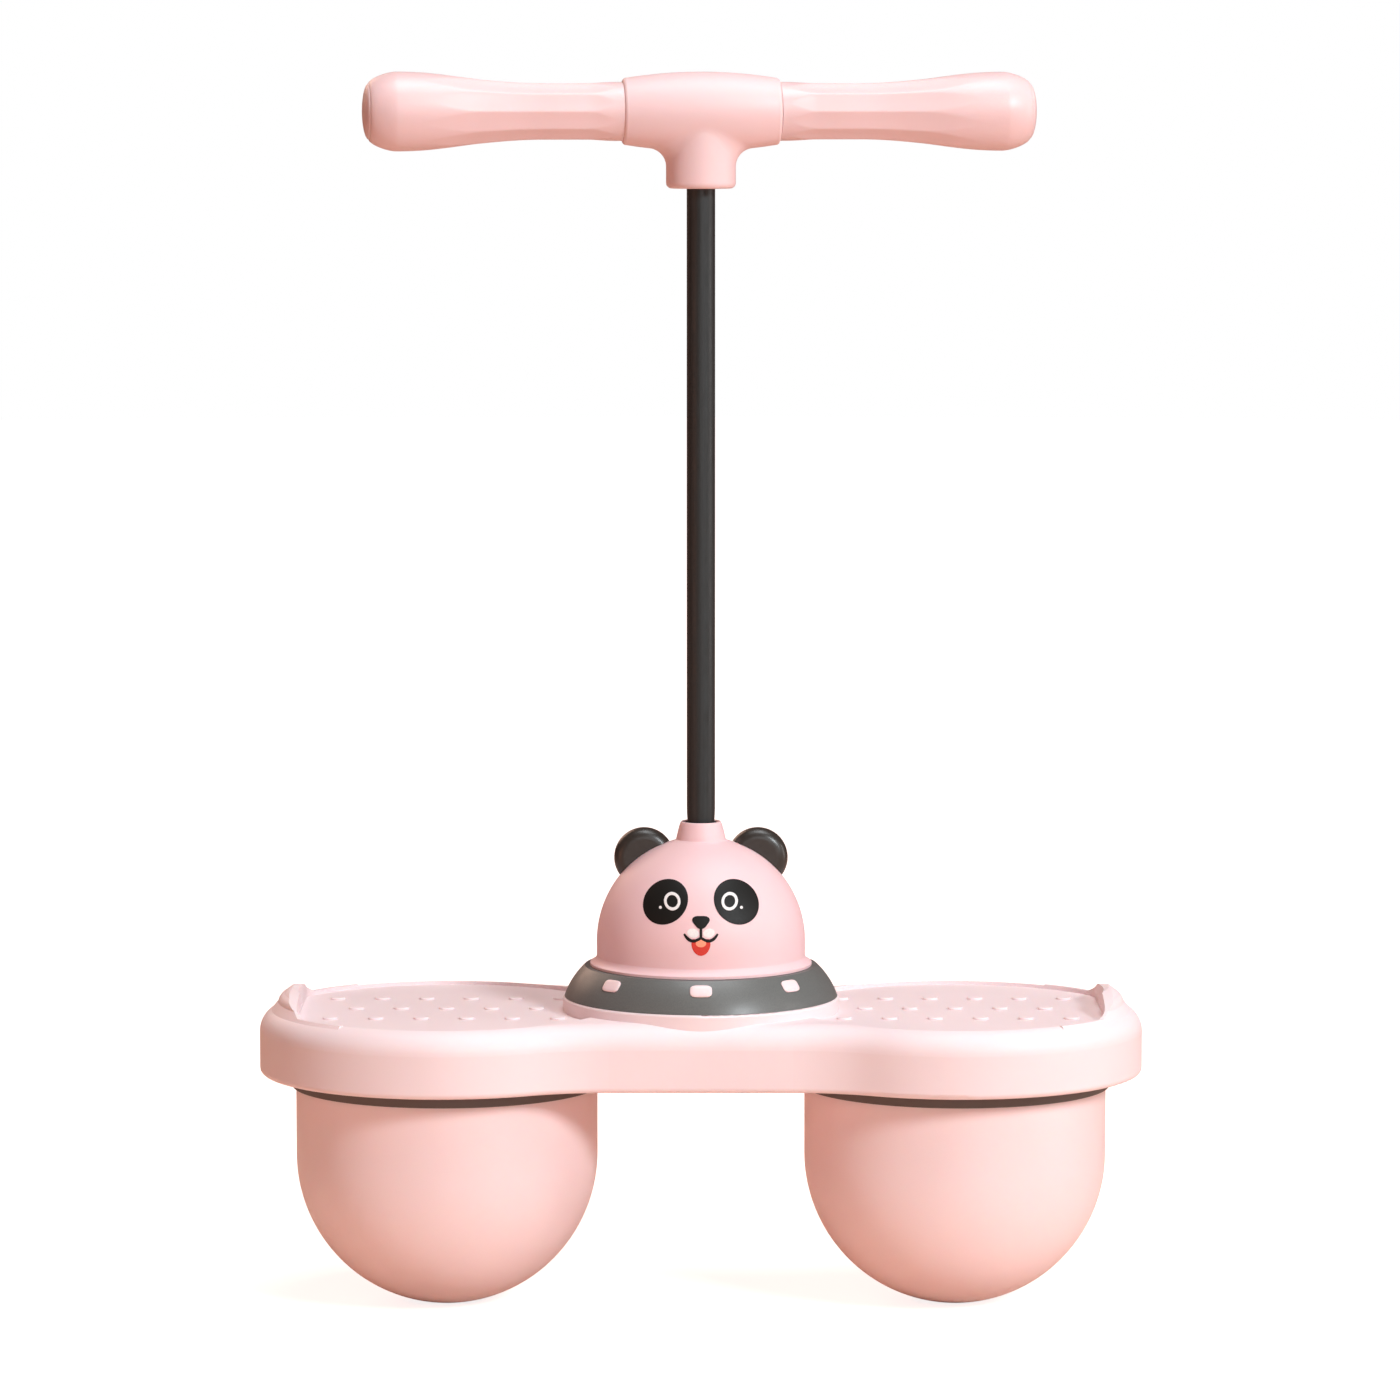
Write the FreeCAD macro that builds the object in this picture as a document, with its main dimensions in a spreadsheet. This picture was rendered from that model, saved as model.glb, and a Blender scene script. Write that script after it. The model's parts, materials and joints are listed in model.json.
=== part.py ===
import FreeCAD, Part

import math
import os

import Sketcher

# A jumping toy: a figure-of-eight deck on two hollow balls, a panda-head dome and a T-handle on a
# stretch cord. Millimetres. +Z is up, X runs along the deck, and the face looks along -Y. The origin is
# on the floor, midway between the balls.

SIZES = {
    # clearances, and how far a boss or a cutter runs into or past its neighbour
    "seat_gap": 0.1,
    "bore_fit": 0.05,
    "bead_fit": 0.04,
    "cord_clear": 0.35,
    "ear_seat_gap": 0.15,
    "bite": 1.0,
    # balls
    "ball_x": 138.35,
    "ball_r": 82.0,
    "ball_wall": 4.0,
    "ball_foot_r": 13.0,
    "ball_top_z": 134.4,
    "ball_flange_r": 88.0,
    "ball_flange_thick": 3.0,
    "valve_tilt": 32.0,
    "valve_r": 4.0,
    "valve_head_r": 6.5,
    "valve_proud": 0.8,
    "valve_tail": 2.0,
    "valve_seat_deep": 1.3,
    # deck
    "deck_bottom_z": 126.1,
    "deck_top_z": 162.1,
    "deck_wall": 3.4,
    "lobe_r": 101.5,
    "waist_depth": 79.4,
    "waist_half": 49.0,
    "deck_edge": 13.0,
    "deck_bottom_edge": 3.0,
    "ceiling_z": 156.2,
    "well_r": 91.5,
    "well_outer": 79.0,
    "well_corner_r": 25.0,
    "well_deep": 2.4,
    "lip_top_z": 172.0,
    "lip_cut_above": 20.0,
    "lip_half_width": 52.0,
    "lip_sweep": 110.0,
    "lip_base_in": 6.4,
    "lip_flank_in": 10.0,
    "lip_flank_drop": 7.2,
    "lip_brow_in": 13.5,
    "lip_brow_drop": 2.6,
    "lip_brow_r": 6.0,
    "lip_crest_in": 18.0,
    "lip_crest_r": 9.0,
    "lip_thick": 6.0,
    "lip_draft": 1.6,
    "pedestal_core_r": 40.0,
    "pedestal_roof": 3.2,
    "pip_r": 4.2,
    "pip_tall": 1.2,
    "pip_edge": 0.8,
    "pip_clear": 3.0,
    "pip_pitch": 24.5,
    "pip_row_gap": 36.0,
    "pedestal_r": 75.0,
    "pedestal_z": 167.5,
    "pedestal_edge": 1.5,
    "cord_hole_r": 8.0,
    "cord_boss_r": 15.0,
    "cord_boss_z": 146.2,
    "boss_r": 4.6,
    "boss_hole_top_z": 152.0,
    "screw_top_z": 150.0,
    "screw_head": 2.0,
    "screw_slack": 0.3,
    "screw_r": 1.6,
    "screw_head_r": 3.4,
    "screw_ring_r": 93.4,
    "screw_mid_x": 26.0,
    "screw_mid_y": 58.0,
    # tray, collars and clamps
    "base_gap": 0.3,
    "base_thick": 3.5,
    "collar_in_r": 82.3,
    "collar_out_r": 84.2,
    "collar_bottom_z": 119.0,
    "collar_flange_r": 88.0,
    "collar_flange_thick": 1.2,
    "clamp_in_r": 76.0,
    "clamp_out_r": 97.2,
    "clamp_thick": 3.5,
    "fit_gap": 0.3,
    # dome, ring, ears and neck
    "dome_r": 56.6,
    "dome_z": 197.5,
    "dome_wall": 3.0,
    "dome_foot_r": 60.2,
    "dome_foot_z": 184.5,
    "dome_foot_top_z": 189.5,
    "dome_foot_thick": 1.4,
    "dome_flare_r": 5.5,
    "dome_boss_ring_r": 50.0,
    "dome_boss_r": 4.4,
    "dome_boss_top_z": 182.0,
    "dome_screw_top_z": 178.0,
    "dome_hole_r": 10.8,
    "ring_out_r": 74.2,
    "ring_top_r": 63.2,
    "ring_in_r": 57.0,
    "ring_bulge_r": 42.0,
    "ring_wall": 3.4,
    "ring_root": 0.8,
    "window_wide": 11.4,
    "window_high": 6.8,
    "window_thick": 2.4,
    "window_proud": 0.4,
    "window_corner": 2.2,
    "window_r": 67.8,
    "window_z": 179.4,
    "window_tilt": 36.9,
    "ear_r": 16.3,
    "ear_thick": 13.0,
    "ear_round": 5.8,
    "ear_reach": 54.4,
    "ear_lean": 34.6,
    "ear_back": 6.0,
    "ear_peg_r": 3.0,
    "ear_peg_in": 3.0,
    "ear_peg_out": 3.0,
    "neck_low_r": 13.2,
    "neck_top_r": 9.6,
    "neck_top_z": 262.7,
    "neck_plug_r": 10.6,
    "neck_plug_deep": 15.2,
    "neck_bow_r": 16.0,
    "neck_socket_deep": 6.2,
    "neck_socket_r": 8.75,
    "pivot_z": 260.5,
    "bead_r": 8.6,
    "bead_half": 1.9,
    # cord and its anchors
    "cord_r": 7.65,
    "cord_low_z": 131.5,
    "cord_high_z": 629.0,
    "washer_r": 15.0,
    "washer_thick": 2.5,
    "ferrule_r": 10.4,
    "ferrule_low_z": 130.4,
    "ferrule_high_z": 631.0,
    # handle
    "hub_z": 646.0,
    "hub_half": 42.25,
    "hub_end_r": 15.3,
    "hub_shoulder_r": 18.0,
    "hub_mid_r": 21.2,
    "hub_screw_sink": 2.2,
    "hub_screw_in": 1.2,
    "hub_shoulder": 2.0,
    "socket_r": 18.75,
    "socket_bottom_z": 604.8,
    "socket_floor_z": 612.5,
    "socket_edge": 3.0,
    "socket_cavity_r": 16.2,
    "socket_cavity_top_z": 640.0,
    "cavity_taper": 8.0,
    "socket_blend": 10.0,
    "tube_r": 11.0,
    "tube_wall": 1.5,
    "tube_half": 172.0,
    "handle_half": 182.0,
    "handle_turn": 6.0,
    "grip_waist_r": 15.75,
    "grip_end_in": 6.0,
    "grip_end_drop": 3.7,
    "grip_end_round": 7.0,
    "grip_peak_in": 18.0,
    "grip_peak_round": 21.0,
    "grip_swell_in": 44.0,
    "grip_swell_drop": 1.4,
    "grip_swell_round": 250.0,
    "grip_rise_in": 70.0,
    "grip_rise": 1.45,
    "grip_rise_round": 234.0,
    "grip_flat_in": 96.0,
    "grip_bulb_r": 21.2,
    "grip_cap_r": 15.2,
    "flute_cutter_r": 7.0,
    "flute_deep": 0.55,
    "flute_start": 6.0,
    "flute_length": 70.0,
    "grip_open_x": 178.4,
    "grip_cap_x": 178.5,
    "grip_plug_r": 9.4,
    "grip_plug_deep": 14.0,
    "flute_bend": 1000.0,
    "hub_screw_x": 24.0,
}

FLUTES = 10
WINDOW_TURNS = (0, 45, 135, 180, 225, 315)
BALL_SCREWS = 6
DOME_SCREW_TURNS = (45, 135, 225, 315)
PIP_ROWS = (-1, 0, 1)
PIP_COLUMNS = range(-4, 5)

doc = FreeCAD.newDocument("jumping_toy")


def make_sheet():
    """The spreadsheet of driving sizes, one alias a row."""
    sizes = doc.addObject("Spreadsheet::Sheet", "Sizes")
    for row, (alias, number) in enumerate(SIZES.items(), start=1):
        sizes.set(f"A{row}", alias)
        sizes.set(f"B{row}", str(number))
        sizes.setAlias(f"B{row}", alias)
    doc.recompute()
    return sizes


sheet = make_sheet()


def full(text):
    """The expression with each size's name written as the sheet's own."""
    words = text.replace("(", " ( ").replace(")", " ) ").split()
    joined = " ".join(f"Sizes.{word}" if word in SIZES else word for word in words)
    return joined.replace("cos (", "cos(").replace("sin (", "sin(")


def measure(text):
    """The expression's present number."""
    return float(sheet.evalExpression(full(text)))


def bind(thing, **properties):
    """Tie properties to expressions; a double underscore stands for the dot of a sub-property."""
    for key, text in properties.items():
        thing.setExpression(key.replace("__", "."), full(text))


def new_body(label):
    body = doc.addObject("PartDesign::Body", label)
    body.Label = label
    return body


def new_sketch(body, name, role, lift=None):
    """A sketch on one of the body's origin planes, moved along the plane's normal by `lift`."""
    sketch = body.newObject("Sketcher::SketchObject", name)
    plane = [part for part in body.Origin.OriginFeatures if part.Role == role][0]
    sketch.AttachmentSupport = [(plane, "")]
    sketch.MapMode = "FlatFace"
    if lift:
        bind(sketch, AttachmentOffset__Base__z=lift)
    return sketch


def arc_between(start, end, radius):
    """The short arc from start to end, anticlockwise for a positive radius."""
    middle = (start + end) * 0.5
    chord = end - start
    rise = math.sqrt(max(radius * radius - chord.Length**2 / 4.0, 0.0))
    side = FreeCAD.Vector(-chord.y, chord.x, 0).normalize()
    centre = middle + side * (rise if radius > 0 else -rise)
    first, last = (start, end) if radius > 0 else (end, start)
    angles = [math.atan2(point.y - centre.y, point.x - centre.x) for point in (first, last)]
    circle = Part.Circle(centre, FreeCAD.Vector(0, 0, 1), abs(radius))
    return Part.ArcOfCircle(circle, angles[0], angles[1])


def hold(sketch, kind, *target, text):
    """Add a dimension and tie it to its expression."""
    index = sketch.addConstraint(Sketcher.Constraint(kind, *target, measure(text)))
    sketch.setExpression(f"Constraints[{index}]", full(text))


def outline(sketch, corners):
    """Close a loop through corners of (x, y) or, where an arc ends, (x, y, radius, turn)."""
    points = [FreeCAD.Vector(measure(c[0]), measure(c[1]), 0) for c in corners]
    ends = []
    for number, corner in enumerate(corners):
        start, end = points[number - 1], points[number]
        if len(corner) == 2:
            ends.append((sketch.addGeometry(Part.LineSegment(start, end), False), 1, 2))
            continue
        arc = sketch.addGeometry(arc_between(start, end, corner[3] * measure(corner[2])), False)
        ends.append((arc, 1, 2) if corner[3] > 0 else (arc, 2, 1))
        hold(sketch, "Radius", arc, text=corner[2])
    for number, corner in enumerate(corners):
        piece, _, tail = ends[number]
        following, head, _ = ends[(number + 1) % len(corners)]
        sketch.addConstraint(Sketcher.Constraint("Coincident", piece, tail, following, head))
        hold(sketch, "DistanceX", piece, tail, text=corner[0])
        hold(sketch, "DistanceY", piece, tail, text=corner[1])


def circle(sketch, centre_x, centre_y, radius):
    middle = FreeCAD.Vector(measure(centre_x), measure(centre_y), 0)
    ring = Part.Circle(middle, FreeCAD.Vector(0, 0, 1), measure(radius))
    index = sketch.addGeometry(ring, False)
    hold(sketch, "DistanceX", index, 3, text=centre_x)
    hold(sketch, "DistanceY", index, 3, text=centre_y)
    hold(sketch, "Radius", index, text=radius)


def pad(body, sketch, length, down=False):
    feature = body.newObject("PartDesign::Pad", f"{sketch.Name}_pad")
    feature.Profile = sketch
    bind(feature, Length=length)
    feature.Reversed = down
    return feature


def pocket(body, sketch, length, up=False):
    """Cut along the sketch's normal when up, else against it, and check that something went."""
    doc.recompute()
    before = body.Shape.Volume
    feature = body.newObject("PartDesign::Pocket", f"{sketch.Name}_pocket")
    feature.Profile = sketch
    bind(feature, Length=length)
    feature.Reversed = up
    doc.recompute()
    if body.Shape.Volume > before - 1.0:
        raise RuntimeError(f"{sketch.Name} cut nothing")
    return feature


def revolve(body, sketch, axis="V_Axis", kind="Revolution"):
    """Turn the sketch all the way round one of its own axes."""
    feature = body.newObject(f"PartDesign::{kind}", f"{sketch.Name}_turned")
    feature.Profile = sketch
    feature.ReferenceAxis = (sketch, [axis])
    feature.Angle = 360
    return feature


def fillet(body, radius, chosen, name):
    """Round the tip's edges for which chosen(edge) is true."""
    doc.recompute()
    base = body.Tip
    edges = [f"Edge{i}" for i, edge in enumerate(base.Shape.Edges, start=1) if chosen(edge)]
    if not edges:
        raise RuntimeError(f"no edge for {name}")
    feature = body.newObject("PartDesign::Fillet", name)
    feature.Base = (base, edges)
    bind(feature, Radius=radius)
    doc.recompute()
    return feature


def level(edge, height, slack=0.05):
    """True where the whole edge lies at one height."""
    return abs(edge.BoundBox.ZMin - height) < slack and abs(edge.BoundBox.ZMax - height) < slack


def ring_body(label, corners):
    """A body turned about Z from a closed half-section of (radius, height) corners."""
    body = new_body(label)
    section = new_sketch(body, f"{label}_section", "XZ_Plane")
    outline(section, corners)
    revolve(body, section)
    return body


def deck_corners(inset):
    """The deck's figure-of-eight, moved inwards by the expression `inset`."""
    lobe = f"( lobe_r - {inset} )"
    depth = f"( waist_depth - {inset} )"
    reach = "( ball_x - waist_half )"
    swoop = f"( ( {reach} ^ 2 + {depth} ^ 2 - {lobe} ^ 2 ) / ( 2 * ( {lobe} - {depth} ) ) )"
    share = f"( {lobe} / ( {lobe} + {swoop} ) )"
    side_x = f"ball_x - {reach} * {share}"
    side_y = f"( {depth} + {swoop} ) * {share}"
    return [
        ("waist_half", f"-1 * {depth}"),
        (side_x, f"-1 * {side_y}", swoop, -1),
        (f"ball_x + {lobe}", "0", lobe, 1),
        (side_x, side_y, lobe, 1),
        ("waist_half", depth, swoop, -1),
        ("-1 * waist_half", depth),
        (f"-1 * ( {side_x} )", side_y, swoop, -1),
        (f"-1 * ( ball_x + {lobe} )", "0", lobe, 1),
        (f"-1 * ( {side_x} )", f"-1 * {side_y}", lobe, 1),
        ("-1 * waist_half", f"-1 * {depth}", swoop, -1),
    ]


def screw_places():
    """Centres of the deck's screws as (x, y) expressions: a ring round each ball, and four at the waist."""
    places = []
    for side in (-1, 1):
        for number in range(BALL_SCREWS):
            turn = 360 // BALL_SCREWS * number
            across = f"{side} * ( ball_x - screw_ring_r * cos ( {turn} ) )"
            places.append((across, f"screw_ring_r * sin ( {turn} )"))
        places.append((f"{side} * screw_mid_x", "screw_mid_y"))
        places.append((f"{side} * screw_mid_x", "-1 * screw_mid_y"))
    return places


def dome_screw_places():
    """Centres of the screws that hold the dome, clear of the front and the back."""
    ring = "dome_boss_ring_r"
    return [(f"{ring} * cos ( {turn} )", f"{ring} * sin ( {turn} )") for turn in DOME_SCREW_TURNS]


def circles(sketch, places, radius):
    for x, y in places:
        circle(sketch, x, y, radius)


def sided(side, corners):
    """Corners mirrored left for a negative side, with the arcs' turn swapped."""
    if side > 0:
        return corners
    swapped = []
    for corner in corners:
        bend = (corner[2], -corner[3]) if len(corner) == 4 else ()
        swapped.append((f"-1 * ( {corner[0]} )", corner[1], *bend))
    return swapped


def make_lip(body, side):
    """The crescent at the deck's end: a section turned about the lobe's centre line."""
    section = new_sketch(body, "lip_right" if side > 0 else "lip_left", "XZ_Plane")
    bind(section, AttachmentOffset__Base__x=f"{side} * ball_x")
    floor = "deck_top_z - well_deep"
    below = "( deck_edge ^ 2 - ( deck_edge - lip_base_in ) ^ 2 ) ^ 0.5"
    corners = [
        ("well_outer - lip_thick", "ceiling_z"),
        ("lobe_r - lip_base_in", "ceiling_z"),
        ("lobe_r - lip_base_in", f"deck_top_z - deck_edge + {below}"),
        ("lobe_r - lip_flank_in", "lip_top_z - lip_flank_drop"),
        ("lobe_r - lip_brow_in", "lip_top_z - lip_brow_drop", "lip_brow_r", 1),
        ("lobe_r - lip_crest_in", "lip_top_z", "lip_crest_r", 1),
        ("well_outer + lip_draft", "lip_top_z - lip_draft / 2"),
        ("well_outer", floor),
        ("well_outer - lip_thick", floor),
    ]
    outline(section, sided(side, corners))
    lip = revolve(body, section)
    bind(lip, Angle="lip_sweep")
    lip.Midplane = True


def trim_lips(body):
    """Bring both lips down to the rim towards the front and the back, along one long arc."""
    side = new_sketch(body, "lip_trim", "YZ_Plane")
    rise = "( lip_top_z - deck_top_z )"
    bow = f"( ( lip_half_width ^ 2 + {rise} ^ 2 ) / ( 2 * {rise} ) )"
    outline(
        side,
        [
            ("-1 * lobe_r", "deck_top_z"),
            ("-1 * lip_half_width", "deck_top_z"),
            ("lip_half_width", "deck_top_z", bow, -1),
            ("lobe_r", "deck_top_z"),
            ("lobe_r", "2 * lip_top_z - deck_top_z"),
            ("-1 * lobe_r", "2 * lip_top_z - deck_top_z"),
        ],
    )
    cut = pocket(body, side, "4 * lobe_r + 4 * ball_x")
    cut.Midplane = True


def well_corners(side):
    """The foot well's round outline, ended by a straight edge in front of the lip, with rounded corners."""
    half = "( ( well_r - well_corner_r ) ^ 2 - ( well_outer - well_corner_r ) ^ 2 ) ^ 0.5"
    share = "( well_r / ( well_r - well_corner_r ) )"
    round_x = f"ball_x + ( well_outer - well_corner_r ) * {share}"
    corners = [
        ("ball_x + well_outer", half),
        (round_x, f"{half} * {share}", "well_corner_r", 1),
        ("ball_x - well_r", "0", "well_r", 1),
        (round_x, f"-1 * {half} * {share}", "well_r", 1),
        ("ball_x + well_outer", f"-1 * {half}", "well_corner_r", 1),
    ]
    return sided(side, corners)


def pip_places():
    """Centres of the anti-slip pips: staggered rows inside each well, clear of the pedestal and the lip."""
    places = []
    reach = measure("well_r - pip_r - pip_clear")
    out_limit = measure("well_outer - pip_r - pip_clear")
    in_limit = measure("pedestal_r + pip_r + pip_clear")
    pitch = measure("pip_pitch")
    for side in (-1, 1):
        for row in PIP_ROWS:
            for column in PIP_COLUMNS:
                shift = column * pitch + (pitch / 2.0 if row % 2 else 0.0)
                down = row * measure("pip_row_gap")
                from_middle = math.hypot(side * measure("ball_x") + shift, down)
                if math.hypot(shift, down) > reach or side * shift > out_limit or from_middle < in_limit:
                    continue
                half = " + pip_pitch / 2" if row % 2 else ""
                places.append((f"{side} * ball_x + {column} * pip_pitch{half}", f"{row} * pip_row_gap"))
    return places


def make_deck_top():
    body = new_body("deck_top")
    plan = new_sketch(body, "deck_plan", "XY_Plane", "deck_bottom_z")
    outline(plan, deck_corners("0"))
    pad(body, plan, "deck_top_z - deck_bottom_z")
    fillet(body, "deck_edge", lambda edge: level(edge, measure("deck_top_z")), "deck_edge_round")
    deck_bottom = measure("deck_bottom_z")
    fillet(body, "deck_bottom_edge", lambda edge: level(edge, deck_bottom), "deck_bottom_round")
    for side in (-1, 1):
        make_lip(body, side)
    trim_lips(body)
    for side in (-1, 1):
        name = "well_right" if side > 0 else "well_left"
        well = new_sketch(body, name, "XY_Plane", "deck_top_z + lip_cut_above")
        outline(well, well_corners(side))
        pocket(body, well, "lip_cut_above + well_deep")
    pedestal = new_sketch(body, "pedestal", "XY_Plane", "ceiling_z + bite")
    circle(pedestal, "0", "0", "pedestal_r")
    pad(body, pedestal, "pedestal_z - ceiling_z - bite")
    fillet(body, "pedestal_edge", lambda edge: level(edge, measure("pedestal_z")), "pedestal_round")
    pips = new_sketch(body, "pips", "XY_Plane", "deck_top_z - well_deep - bite")
    circles(pips, pip_places(), "pip_r")
    pad(body, pips, "pip_tall + bite")
    pip_top = measure("deck_top_z - well_deep + pip_tall")
    fillet(body, "pip_edge", lambda edge: level(edge, pip_top), "pip_round")
    inside = new_sketch(body, "hollow", "XY_Plane", "deck_bottom_z")
    outline(inside, deck_corners("deck_wall"))
    pocket(body, inside, "ceiling_z - deck_bottom_z", up=True)
    core = new_sketch(body, "pedestal_core", "XY_Plane", "ceiling_z - bite")
    circle(core, "0", "0", "pedestal_core_r")
    pocket(body, core, "pedestal_z - pedestal_roof - ceiling_z + bite", up=True)
    add_deck_bosses(body)
    return body


def add_deck_bosses(body):
    """Screw bosses hanging from the ceiling, the cord's boss, and their holes."""
    rings = [place for place in screw_places() if "screw_ring_r" in place[1]]
    waist = [place for place in screw_places() if "screw_ring_r" not in place[1]]
    tray_top = "deck_bottom_z + base_gap + base_thick"
    clamp_top = f"{tray_top} + collar_flange_thick + ball_flange_thick + clamp_thick"
    for name, places, low in (
        ("ring_bosses", rings, f"{clamp_top} + 3 * fit_gap"),
        ("waist_bosses", waist, tray_top),
    ):
        sketch = new_sketch(body, name, "XY_Plane", "ceiling_z + bite")
        circles(sketch, places, "boss_r")
        pad(body, sketch, f"ceiling_z + bite - ( {low} )", down=True)
    cord_boss = new_sketch(body, "cord_boss", "XY_Plane", "pedestal_z - bite")
    circle(cord_boss, "0", "0", "cord_boss_r")
    pad(body, cord_boss, "pedestal_z - bite - cord_boss_z", down=True)
    holes = new_sketch(body, "screw_holes", "XY_Plane", "deck_bottom_z")
    circles(holes, screw_places(), "screw_r")
    pocket(body, holes, "boss_hole_top_z - deck_bottom_z", up=True)
    dome_holes = new_sketch(body, "dome_screw_holes", "XY_Plane", "pedestal_z")
    circles(dome_holes, dome_screw_places(), "screw_r + screw_slack")
    circle(dome_holes, "0", "0", "cord_hole_r")
    pocket(body, dome_holes, "pedestal_z - deck_bottom_z")


def make_deck_base():
    """The tray that closes the deck, with the ball openings and countersunk screw holes."""
    body = new_body("deck_base")
    plan = new_sketch(body, "tray_plan", "XY_Plane", "deck_bottom_z + base_gap")
    outline(plan, deck_corners("( deck_wall + base_gap )"))
    pad(body, plan, "base_thick")
    openings = new_sketch(body, "ball_openings", "XY_Plane", "deck_bottom_z")
    for side in (-1, 1):
        circle(openings, f"{side} * ball_x", "0", "collar_out_r + fit_gap")
    pocket(body, openings, "base_thick + base_gap", up=True)
    holes = new_sketch(body, "tray_holes", "XY_Plane", "deck_bottom_z")
    circles(holes, screw_places(), "screw_r + screw_slack")
    pocket(body, holes, "base_thick + base_gap", up=True)
    heads = new_sketch(body, "tray_counterbores", "XY_Plane", "deck_bottom_z")
    circles(heads, screw_places(), "screw_head_r + screw_slack")
    pocket(body, heads, "base_gap + screw_head + screw_slack", up=True)
    return body


def make_screws(label, places, head_z, top_z):
    """Screws pointing up, one solid each, as one node."""
    body = new_body(label)
    body.AllowCompound = True
    heads = new_sketch(body, f"{label}_heads", "XY_Plane", head_z)
    circles(heads, places, "screw_head_r")
    pad(body, heads, "screw_head")
    shanks = new_sketch(body, f"{label}_shanks", "XY_Plane", head_z)
    circles(shanks, places, "screw_r")
    pad(body, shanks, f"{top_z} - ( {head_z} )")
    return body


def at_ball(body, side):
    bind(body, Placement__Base__x=f"{side} * ball_x")
    return body


def name_for(side, word):
    return f"{word}_right" if side > 0 else f"{word}_left"


def aimed_cylinder(name, radius, low, high, turn, base):
    """A cylinder from low to high along +Z, turned by (axis, angle) and moved to base, three sizes."""
    rod = doc.addObject("Part::Cylinder", name)
    bind(rod, Radius=radius, Height=f"{high} - ( {low} )")
    axis, angle = turn
    along = FreeCAD.Rotation(axis, measure(angle)).multVec(FreeCAD.Vector(0, 0, measure(low)))
    base_point = FreeCAD.Vector(*(measure(text) for text in base))
    rod.Placement = FreeCAD.Placement(base_point + along, FreeCAD.Rotation(axis, measure(angle)))
    return rod


def boolean(kind, name, base, tool):
    result = doc.addObject(f"Part::{kind}", name)
    result.Base = base
    result.Tool = tool
    result.Label = name
    return result


def make_ball(side):
    """A hollow rubber ball with a straight upper wall, a clamped flange and a small flat foot."""
    centre = "( ball_r ^ 2 - ball_foot_r ^ 2 ) ^ 0.5"
    flange = "ball_top_z - ball_flange_thick"
    body = new_body(name_for(side, "ball_shell"))
    section = new_sketch(body, name_for(side, "ball_section"), "XZ_Plane")
    outline(
        section,
        [
            ("0", "0"),
            ("ball_foot_r", "0"),
            ("ball_r", centre, "ball_r", 1),
            ("ball_r", flange),
            ("ball_flange_r", flange),
            ("ball_flange_r", "ball_top_z"),
            ("0", "ball_top_z"),
        ],
    )
    revolve(body, section)
    hollow = new_sketch(body, name_for(side, "ball_hollow"), "XZ_Plane")
    inner = "ball_r - ball_wall"
    outline(
        hollow,
        [
            ("0", f"{centre} - ( {inner} )"),
            (inner, centre, inner, 1),
            (inner, "ball_top_z - ball_wall"),
            ("0", "ball_top_z - ball_wall"),
        ],
    )
    revolve(body, hollow, kind="Groove")
    at_ball(body, side)
    cutter = valve_solid(side, "valve_seat", "seat_gap")
    return boolean("Cut", name_for(side, "ball"), body, cutter)


def valve_solid(side, word, grow):
    """The inflation plug at a ball's back: a shank and a flat head, grown by a clearance."""
    turn = (FreeCAD.Vector(1, 0, 0), "-90 - valve_tilt")
    base = (f"{side} * ball_x", "0", "( ball_r ^ 2 - ball_foot_r ^ 2 ) ^ 0.5")
    tail = f"ball_r - ball_wall - valve_tail - {grow}"
    head_low = f"ball_r - valve_seat_deep - {grow}"
    head_high = f"ball_r + valve_proud + {grow}"
    shank_name = name_for(side, f"{word}_shank")
    head_name = name_for(side, f"{word}_head")
    shank = aimed_cylinder(shank_name, f"valve_r + {grow}", tail, head_low, turn, base)
    head = aimed_cylinder(head_name, f"valve_head_r + {grow}", head_low, head_high, turn, base)
    return boolean("Fuse", name_for(side, word), shank, head)


def make_collar(side):
    """The dark gasket: a lip round the ball below the deck and a flange on the tray."""
    tray = "deck_bottom_z + base_gap + base_thick"
    body = ring_body(
        name_for(side, "ball_collar"),
        [
            ("collar_in_r", "collar_bottom_z"),
            ("collar_out_r", "collar_bottom_z"),
            ("collar_out_r", tray),
            ("collar_flange_r", tray),
            ("collar_flange_r", f"{tray} + collar_flange_thick"),
            ("collar_in_r", f"{tray} + collar_flange_thick"),
        ],
    )
    return at_ball(body, side)


def make_clamp(side):
    """The ring that presses the ball's flange down, with holes for the deck screws."""
    low = "ball_top_z + fit_gap"
    body = ring_body(
        name_for(side, "ball_clamp"),
        [
            ("clamp_in_r", low),
            ("clamp_out_r", low),
            ("clamp_out_r", f"{low} + clamp_thick"),
            ("clamp_in_r", f"{low} + clamp_thick"),
        ],
    )
    holes = new_sketch(body, name_for(side, "clamp_holes"), "XY_Plane", low)
    for number in range(BALL_SCREWS):
        turn = 360.0 / BALL_SCREWS * number
        place = (f"screw_ring_r * cos ( {turn} )", f"screw_ring_r * sin ( {turn} )")
        circle(holes, *place, "screw_r + screw_slack")
    pocket(body, holes, "clamp_thick", up=True)
    return at_ball(body, side)


def ear_turn(side):
    return (FreeCAD.Vector(0, side, 0), "ear_lean")


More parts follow.
